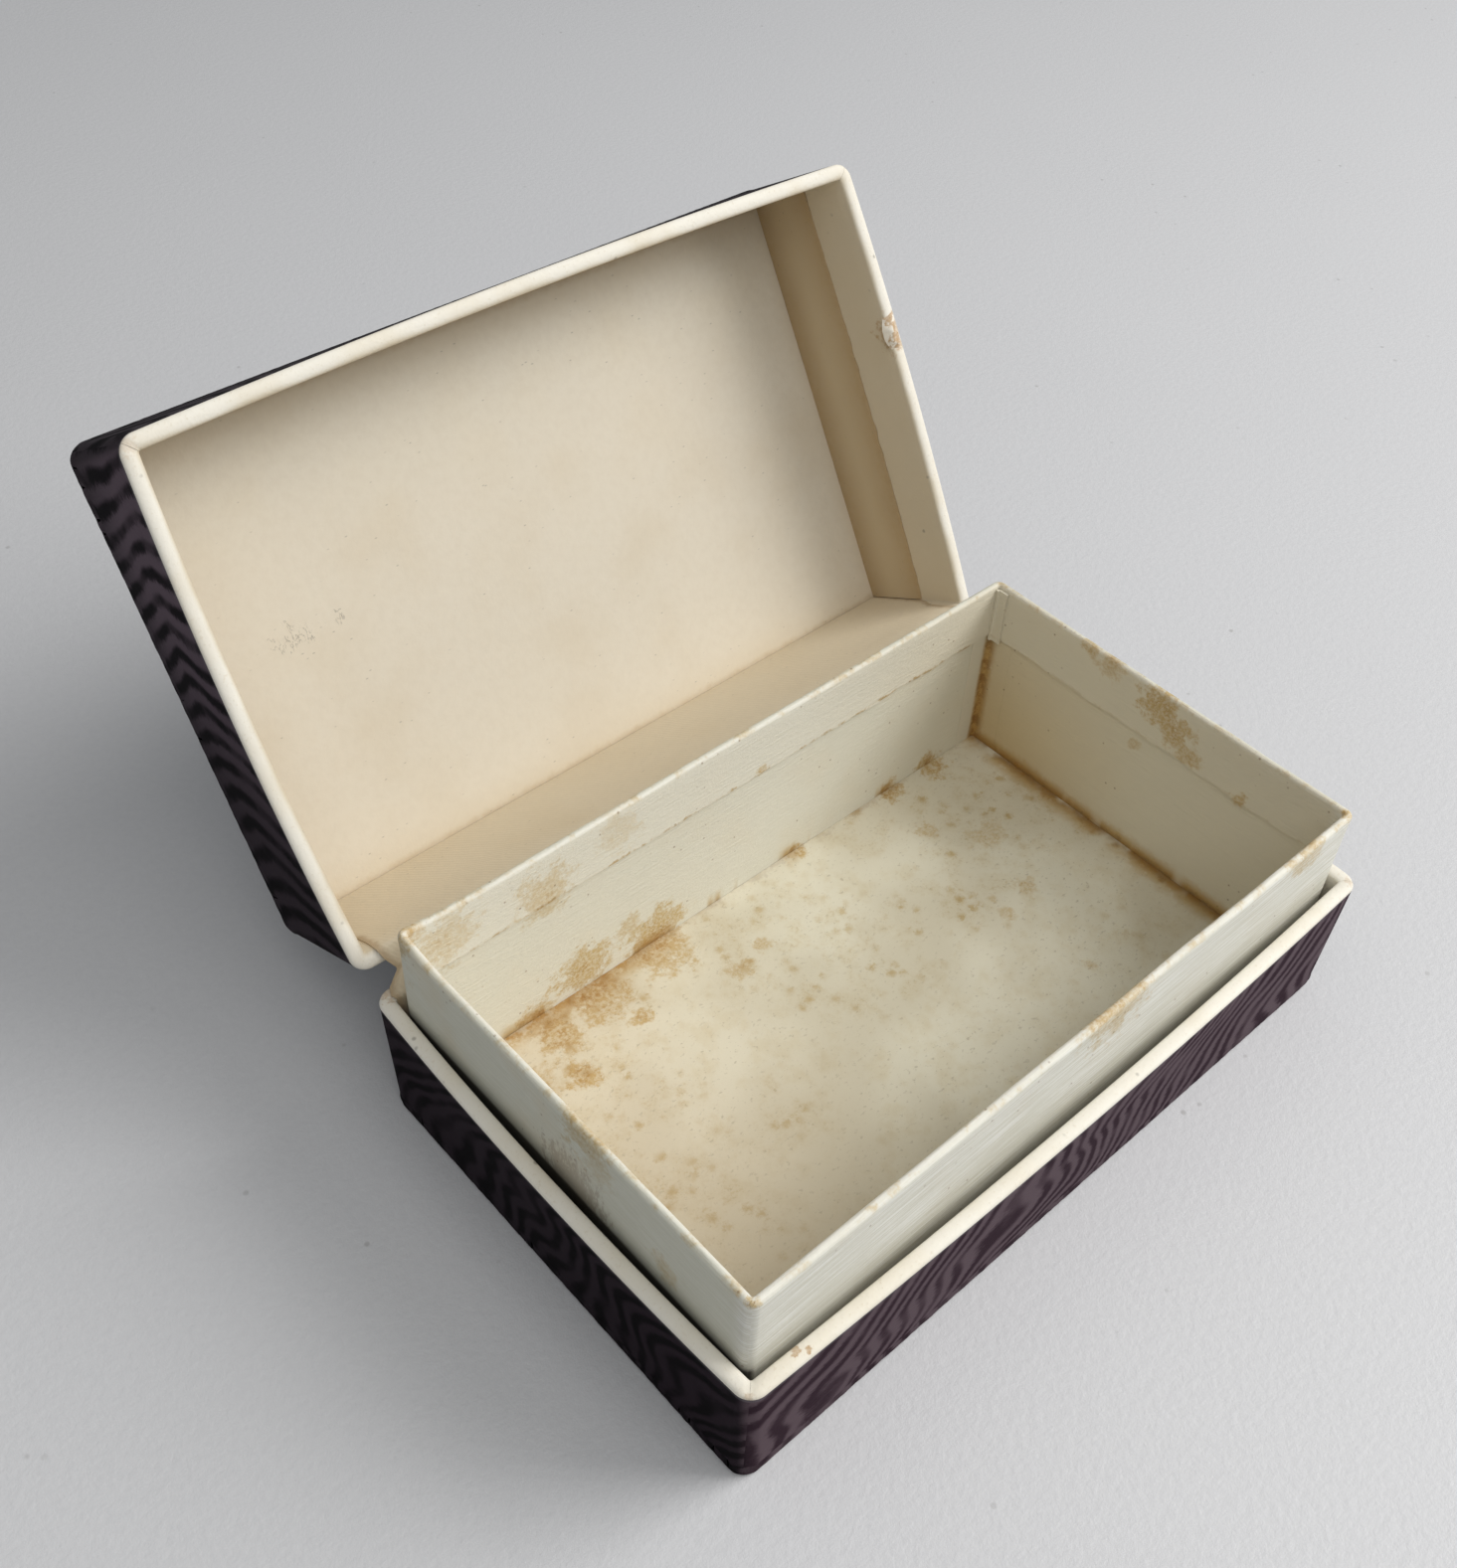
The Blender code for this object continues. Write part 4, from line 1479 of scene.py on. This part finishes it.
@dataclass
class Lid:
    """The lid tray with its top sheet and linings, swung open about the hinge."""

    hinge: Hinge
    base: Tray
    turn_in: float = 8.2 * MM
    lining: float = 0.14 * MM
    lap: float = 0.5 * MM
    lining_grid: tuple[int, int] = (40, 64)
    lining_rows: int = 12
    lining_steps: int = 70
    lining_gap: int = 3
    lining_wave: Unevenness = Unevenness(0.10 * MM, 21 * MM, 4.0)
    # Height below which the panel lining darkens with painted shade, towards the hinge.
    shade_below: float = 60 * MM
    scribble_drop: float = 2.2 * MM
    scribbles: tuple[tuple[float, float], ...] = ((38.0, 1.0), (36.0, 1.7), (34.2, 1.2), (29.5, 0.9))
    torn: Unevenness = Unevenness(0.30 * MM, 1.8 * MM, 6.0)
    flake_caliper: float = 0.09 * MM
    flake_start: float = 0.40 * MM
    flake_length: float = 4.8 * MM
    flake_place: float = -9.0 * MM
    flake_reach: tuple[float, float] = (1.3 * MM, 1.0 * MM)
    flake_lift: tuple[float, float] = (0.10 * MM, 0.42 * MM)
    flake_steps: tuple[int, int] = (14, 26)
    crumple: Unevenness = Unevenness(0.30 * MM, 1.1 * MM, 21.0)
    # Inset of the chip from the lid's end, which also sets the edge of the painted sheen on the lid's left
    # end wall.
    edge_fade: float = 0.6 * MM

    def __post_init__(self) -> None:
        """Read the tray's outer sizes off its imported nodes, as they lie on the closed box."""
        self.swing = self.hinge.opening()
        self.floor = self.hinge.closed_box("lid_panel_lining")
        rim = self.hinge.closed_box("lid_rim_strip_front")[0].z
        closed_end = self.hinge.closed_box("lid_top_sheet")[1].z
        self.tray = Tray("lid", self.base.half_length, self.base.half_width, closed_end - rim, closed_end,
                         -1, turn_in=self.turn_in, swing=self.swing)

    def panel_lining(self) -> None:
        """The cream sheet inside the lid's panel."""
        low, high = self.floor
        plan = Plan((high.x - low.x) / 2, (high.y - low.y) / 2, SHARP_FOLD, 0.0, (high.y + low.y) / 2)
        rows = [[Vector((p.x, p.y, low.z + abs(self.lining_wave.at(p).z))) for p in row]
                for row in plan.flat_rows(*self.lining_grid)]
        piece = Sheet("lid_panel_paper", rows, self.lining, Facing.DOWN).build(self.swing)
        width, length = high.y - low.y, high.x - low.x
        scribbles = tuple(Spot(length / 2 - at * MM, width / 2 - self.scribble_drop, 0.0, size * MM)
                          for at, size in self.scribbles)
        finish = Lining(width=width, length=length, tan_amount=0.28, marks=scribbles,
                        shade_below=self.shade_below).make("panel_lining")
        settle(piece, "lid", "cream_paper", finish, "lid_panel_lining")

    def wall_lining(self) -> None:
        """The strip round the end and front walls, its torn edge over the rims' turned-in paper."""
        high = self.tray.depth - self.tray.turn_in + self.lap
        low = self.tray.closed_end - self.floor[0].z
        inset = self.tray.wall + self.lining
        sides = (Side.LEFT, Side.FRONT, Side.RIGHT)
        rows = []
        for height in spread(high, low, self.lining_rows):
            run = self.tray.plan(inset, height, self.lining_steps).loop(sides)
            run = run[self.lining_gap:-self.lining_gap]
            heights = [height + self.torn.along(at) * (height == high) for at in distances(run)]
            rows.append(self.tray.raise_row(run, heights))
        piece = Sheet("lid_wall_paper", rows, self.lining, Facing.IN).build(self.swing)
        finish = Lining(ground=(0.58, 0.475, 0.315), tan=(0.40, 0.27, 0.13), width=high - low,
                        tan_amount=0.65, joint_amount=0.15).make("wall_lining")
        settle(piece, "lid", "cream_paper", finish, "lid_wall_lining")

    def torn_flake(self, finish: bpy.types.Material) -> None:
        """A flake of rim paper torn up from the right rim.

        Args:
            finish: Its material.
        """
        across_steps, along_steps = self.flake_steps
        start = self.tray.half_length + self.flake_start
        rows = []
        for share in spread(0.0, 1.0, across_steps):
            row = []
            for run in spread(0.0, 1.0, along_steps):
                swell = math.sin(math.pi * run)
                reach = self.flake_reach[0] + self.flake_reach[1] * swell ** 0.6
                x = start - share * reach
                y = self.flake_place + (run - 0.5) * self.flake_length
                lift = self.flake_lift[0] + self.flake_lift[1] * math.sin(math.pi * share)
                off = self.crumple.at(Vector((x, y, 0)))
                height = self.tray.depth - self.tray.bead * (2 * share - 1) ** 2 + lift * swell
                height += max(off.z, -0.05 * MM) * 0.8
                row.append(Vector((x + off.x, y + off.y, self.tray.closed_end - height)))
            rows.append(row)
        piece = Sheet("lid_rim_torn_flake", rows, self.flake_caliper, Facing.DOWN).build(self.swing)
        settle(piece, "lid", "cream_paper", finish)

    def build(self) -> None:
        """Shape and dress everything pasted on the lid."""
        edge = self.tray.half_length - self.edge_fade
        # The lid's left end wall carries painted sheen: a lighter copy of the paper, stronger higher up,
        # where the light falls.
        cover = MoirePaper(ground=(0.024, 0.014, 0.021), seed=7.0, spacing=2.9 * MM, slant=0.0,
                           step=0.8, ripple=0.8, bend=1.3, painted_sheen_axis=0,
                           painted_sheen_span=(-edge, -edge - self.edge_fade), painted_sheen_above=(24 * MM, 62 * MM),
                           painted_sheen=(0.105, 0.072, 0.094), painted_sheen_vein=(0.004, 0.002, 0.004))
        self.tray.side_wrap(cover)
        rim_level = self.tray.closed_end - self.tray.depth
        chip = self.swing @ Vector((edge, self.flake_place, rim_level))
        corner = self.swing @ Vector((-self.tray.half_length + MM, -self.tray.half_width + MM, rim_level))
        along = self.swing.to_3x3() @ Vector((0.0, MM, 0.0))
        ends = tuple(Spot(*(chip + along * off), 1.1 * MM) for off in (-2.2, -0.9, 0.6, 1.9))
        marks = (Spot(*chip, 2.8 * MM, 0.7), Spot(*corner, 1.4 * MM, 0.3))
        rim = RimPaper(marks=marks, inner_tan=(0.60, 0.515, 0.37)).make("lid_rim_cream")
        for side in Side:
            self.tray.rim_strip(side, rim)
        top = MoirePaper(seed=4.0).make("lid_top_moire")
        self.tray.closing_sheet("lid_top_sheet", "lid_top_paper", "moire_paper", top, Facing.UP)
        self.tray.hidden_boards()
        self.panel_lining()
        self.wall_lining()
        flake = RimPaper(ground=(0.84, 0.79, 0.69), aged=(0.80, 0.70, 0.52), marks=ends).make("torn_flake")
        self.torn_flake(flake)
        log.info("lid: cover, top paper, four rim beads, panel and wall linings, torn flake")


@dataclass
class HingePaper:
    """The strip that joins the back walls: up the base's wall, round the fold, along the lid's."""

    hinge: Hinge
    base: Tray
    lid: Tray
    lid_floor: float
    caliper: float = 0.15 * MM
    drop: float = 8 * MM
    columns: int = 110
    fold_reach: float = 1.2 * MM
    crumple: Unevenness = Unevenness(0.106132 * MM, 1.3 * MM, 13.0)
    crumple_reach: float = 1.6 * MM

    def section(self) -> list[tuple[float, float, float, bool]]:
        """The strip's section on the closed box, from the base's wall to the lid's floor.

        Returns:
            For each row its y, its z, its margin from the end walls, and whether it is the lid's.
        """
        wall = self.base.half_width - self.base.wall - GLUE
        _, tip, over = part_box("hinge_paper_base_leaf")[1]
        under = self.hinge.closed_box("hinge_paper_lid_leaf")[0].z
        base = [(wall, over - self.drop, 2.6 * MM), (wall, over - 4 * MM, 2.4 * MM),
                (wall, over - 0.5 * MM, 2.1 * MM), (wall + 0.15 * MM, over - 0.12 * MM, 1.9 * MM),
                (wall + 0.5 * MM, over, 1.7 * MM), ((wall + tip) / 2, over, 2.2 * MM),
                (tip, over, 4.3 * MM)]
        far = self.lid_floor - GLUE
        lid = [(tip, under, 4.4 * MM), ((wall + tip) / 2, under, 3.5 * MM),
               (wall + 0.5 * MM, under, 3.2 * MM), (wall + 0.15 * MM, under + 0.12 * MM, 3.1 * MM),
               (wall, under + 0.5 * MM, 3.1 * MM)]
        closed = self.lid.wall + 0.17 * MM
        lid += [(wall - self.lid.draft * share, under + (far - under) * share, margin)
                for share, margin in ((0.15, 3.3 * MM), (0.28, 3.3 * MM), (0.40, 2.3 * MM), (0.48, closed),
                                      (0.6, closed), (0.8, closed), (1.0, closed))]
        return [(*row, False) for row in base] + [(*row, True) for row in lid]

    def build(self) -> None:
        """Shape the strip where it is at rest, bent round the fold between base and lid."""
        opening = self.hinge.opening()
        rows = []
        for y, z, margin, on_lid in self.section():
            half = self.base.half_length - margin
            free = abs(y - self.hinge.pivot.y) < self.fold_reach
            row = []
            for x in spread(-half, half, self.columns):
                point = Vector((x, y, z))
                near_end = math.exp(-((half - abs(x)) / self.crumple_reach) ** 2)
                if free:
                    point += self.crumple.at(point) * near_end
                row.append(opening @ point if on_lid else point)
            rows.append(row)
        piece = Sheet("hinge_strip", rows, self.caliper, Facing.IN, crisp=60.0).build()
        first_on_lid = [on_lid for *_, on_lid in self.section()].index(True)
        base_tip, lid_tip = rows[first_on_lid - 1][0], rows[first_on_lid][0]
        finish = Lining(ground=(0.70, 0.61, 0.455), laid=True, length=2 * rows[0][-1].x,
                        dark_end_reach=1.2 * MM).make("hinge_lining")
        piece.data.materials.clear()
        piece.data.materials.append(finish)
        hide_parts("hinge_paper_base_leaf", "hinge_paper_lid_leaf")
        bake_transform(piece)
        log.info("hinge: one strip bending between base and lid")


# ---------------------------------------------------------------- studio


@dataclass(frozen=True)
class Camera:
    """The view: from the front left and above, close to the box."""

    eye: Vector = Vector((-0.10409, -0.08101, 0.17485))
    ahead: Vector = Vector((0.50822, 0.49641, -0.70377))
    up: Vector = Vector((0.45076, 0.54299, 0.70851))
    lens: float = 39.71
    sensor: float = 36.0
    clip: tuple[float, float] = (0.01, 20.0)
    shift: tuple[float, float] = (-0.0307, -0.0084)

    def build(self) -> None:
        """Place the camera and make it the scene's own."""
        data = bpy.data.cameras.new("view")
        data.lens = self.lens
        data.sensor_width = self.sensor
        data.shift_x, data.shift_y = self.shift
        data.clip_start, data.clip_end = self.clip
        camera = bpy.data.objects.new("view", data)
        back = -self.ahead.normalized()
        right = self.up.cross(back).normalized()
        above = back.cross(right)
        turn = Matrix((right, above, back)).transposed().to_4x4()
        camera.matrix_world = Matrix.Translation(self.eye) @ turn
        bpy.context.scene.collection.objects.link(camera)
        bpy.context.scene.camera = camera


@dataclass(frozen=True)
class SoftBox:
    """A square area light that looks at the box."""

    name: str
    place: Vector
    size: float
    power: float
    tint: Colour = (1.0, 1.0, 1.0)

    def build(self) -> None:
        """Hang the light."""
        data = bpy.data.lights.new(self.name, "AREA")
        data.shape = "SQUARE"
        data.size = self.size
        data.energy = self.power
        data.color = self.tint
        lamp = bpy.data.objects.new(self.name, data)
        lamp.location = self.place
        lamp.rotation_euler = (-self.place).to_track_quat("-Z", "Y").to_euler()
        bpy.context.scene.collection.objects.link(lamp)


@dataclass(frozen=True)
class Studio:
    """A plain pale floor under soft light from the front right."""

    floor_half: float = 5.0
    floor_drop: float = 0.05 * MM
    paint: Colour = (0.66, 0.66, 0.675)
    paint_dull: Colour = (0.58, 0.58, 0.60)
    specks: Colour = (0.30, 0.29, 0.28)
    sky: Colour = (0.93, 0.97, 1.0)
    sky_strength: float = 0.24
    lights: tuple[SoftBox, ...] = (
        SoftBox("window", Vector((0.585, -0.375, 0.60)), 0.55, 6.7, (1.0, 0.99, 0.97)),
        SoftBox("ceiling", Vector((-0.15, -0.42, 0.95)), 0.9, 3.9, (1.0, 0.99, 0.96)),
    )

    def build(self) -> None:
        """Lay the floor, hang the lights and set the surroundings."""
        self.lay_floor()
        world = bpy.data.worlds.new("surroundings")
        world.use_nodes = True
        background = world.node_tree.nodes["Background"]
        background.inputs["Color"].default_value = (*self.sky, 1.0)
        background.inputs["Strength"].default_value = self.sky_strength
        bpy.context.scene.world = world
        for light in self.lights:
            light.build()
        bpy.context.scene.view_settings.view_transform = "Standard"

    def lay_floor(self) -> None:
        """Lay the floor under the box and paint it."""
        mesh = bmesh.new()
        bmesh.ops.create_grid(mesh, x_segments=2, y_segments=2, size=self.floor_half)
        data = bpy.data.meshes.new("floor")
        mesh.to_mesh(data)
        mesh.free()
        floor = bpy.data.objects.new("floor", data)
        floor.location.z = -self.floor_drop
        bpy.context.scene.collection.objects.link(floor)
        floor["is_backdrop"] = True
        mix = Recipe("floor_paint")
        place = mix.body_place()
        grain = mix.cloud(place, 1.1 * MM, 4.0, 0.7)
        shade = mix.cloud(place, 60 * MM, 2.0)
        colour = mix.blend(grain.rise(0.35, 0.7) * 0.25 + shade * 0.2, self.paint, self.paint_dull)
        dust = mix.cells(place, 7 * MM).rise(0.07, 0.03) * shade.rise(0.45, 0.6)
        colour = mix.blend(dust * 0.45, colour, self.specks)
        data.materials.append(mix.finish(colour, 0.5, mix.relief(grain, 0.10 * MM)))


def write_sizes() -> None:
    """Work out the CAD box and the visual model's box as plain lists; the lists are not kept.
    """
    boxes = {"cad": CAD_BOX, "visual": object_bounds()}
    {name: [list(corner) for corner in box] for name, box in boxes.items()}


def main() -> None:
    """Build the box from the table up, then the studio round it."""
    logging.basicConfig(level=logging.INFO, format="%(name)s: %(message)s")
    noise.seed_set(NOISE_SEED)
    hinge = Hinge.from_record()
    base = Base()
    base.build()
    Neck().build()
    lid = Lid(hinge, base.tray)
    lid.build()
    HingePaper(hinge, base.tray, lid.tray, lid.floor[0].z).build()
    Studio().build()
    Camera().build()
    write_sizes()


if __name__ == "__main__":
    main()
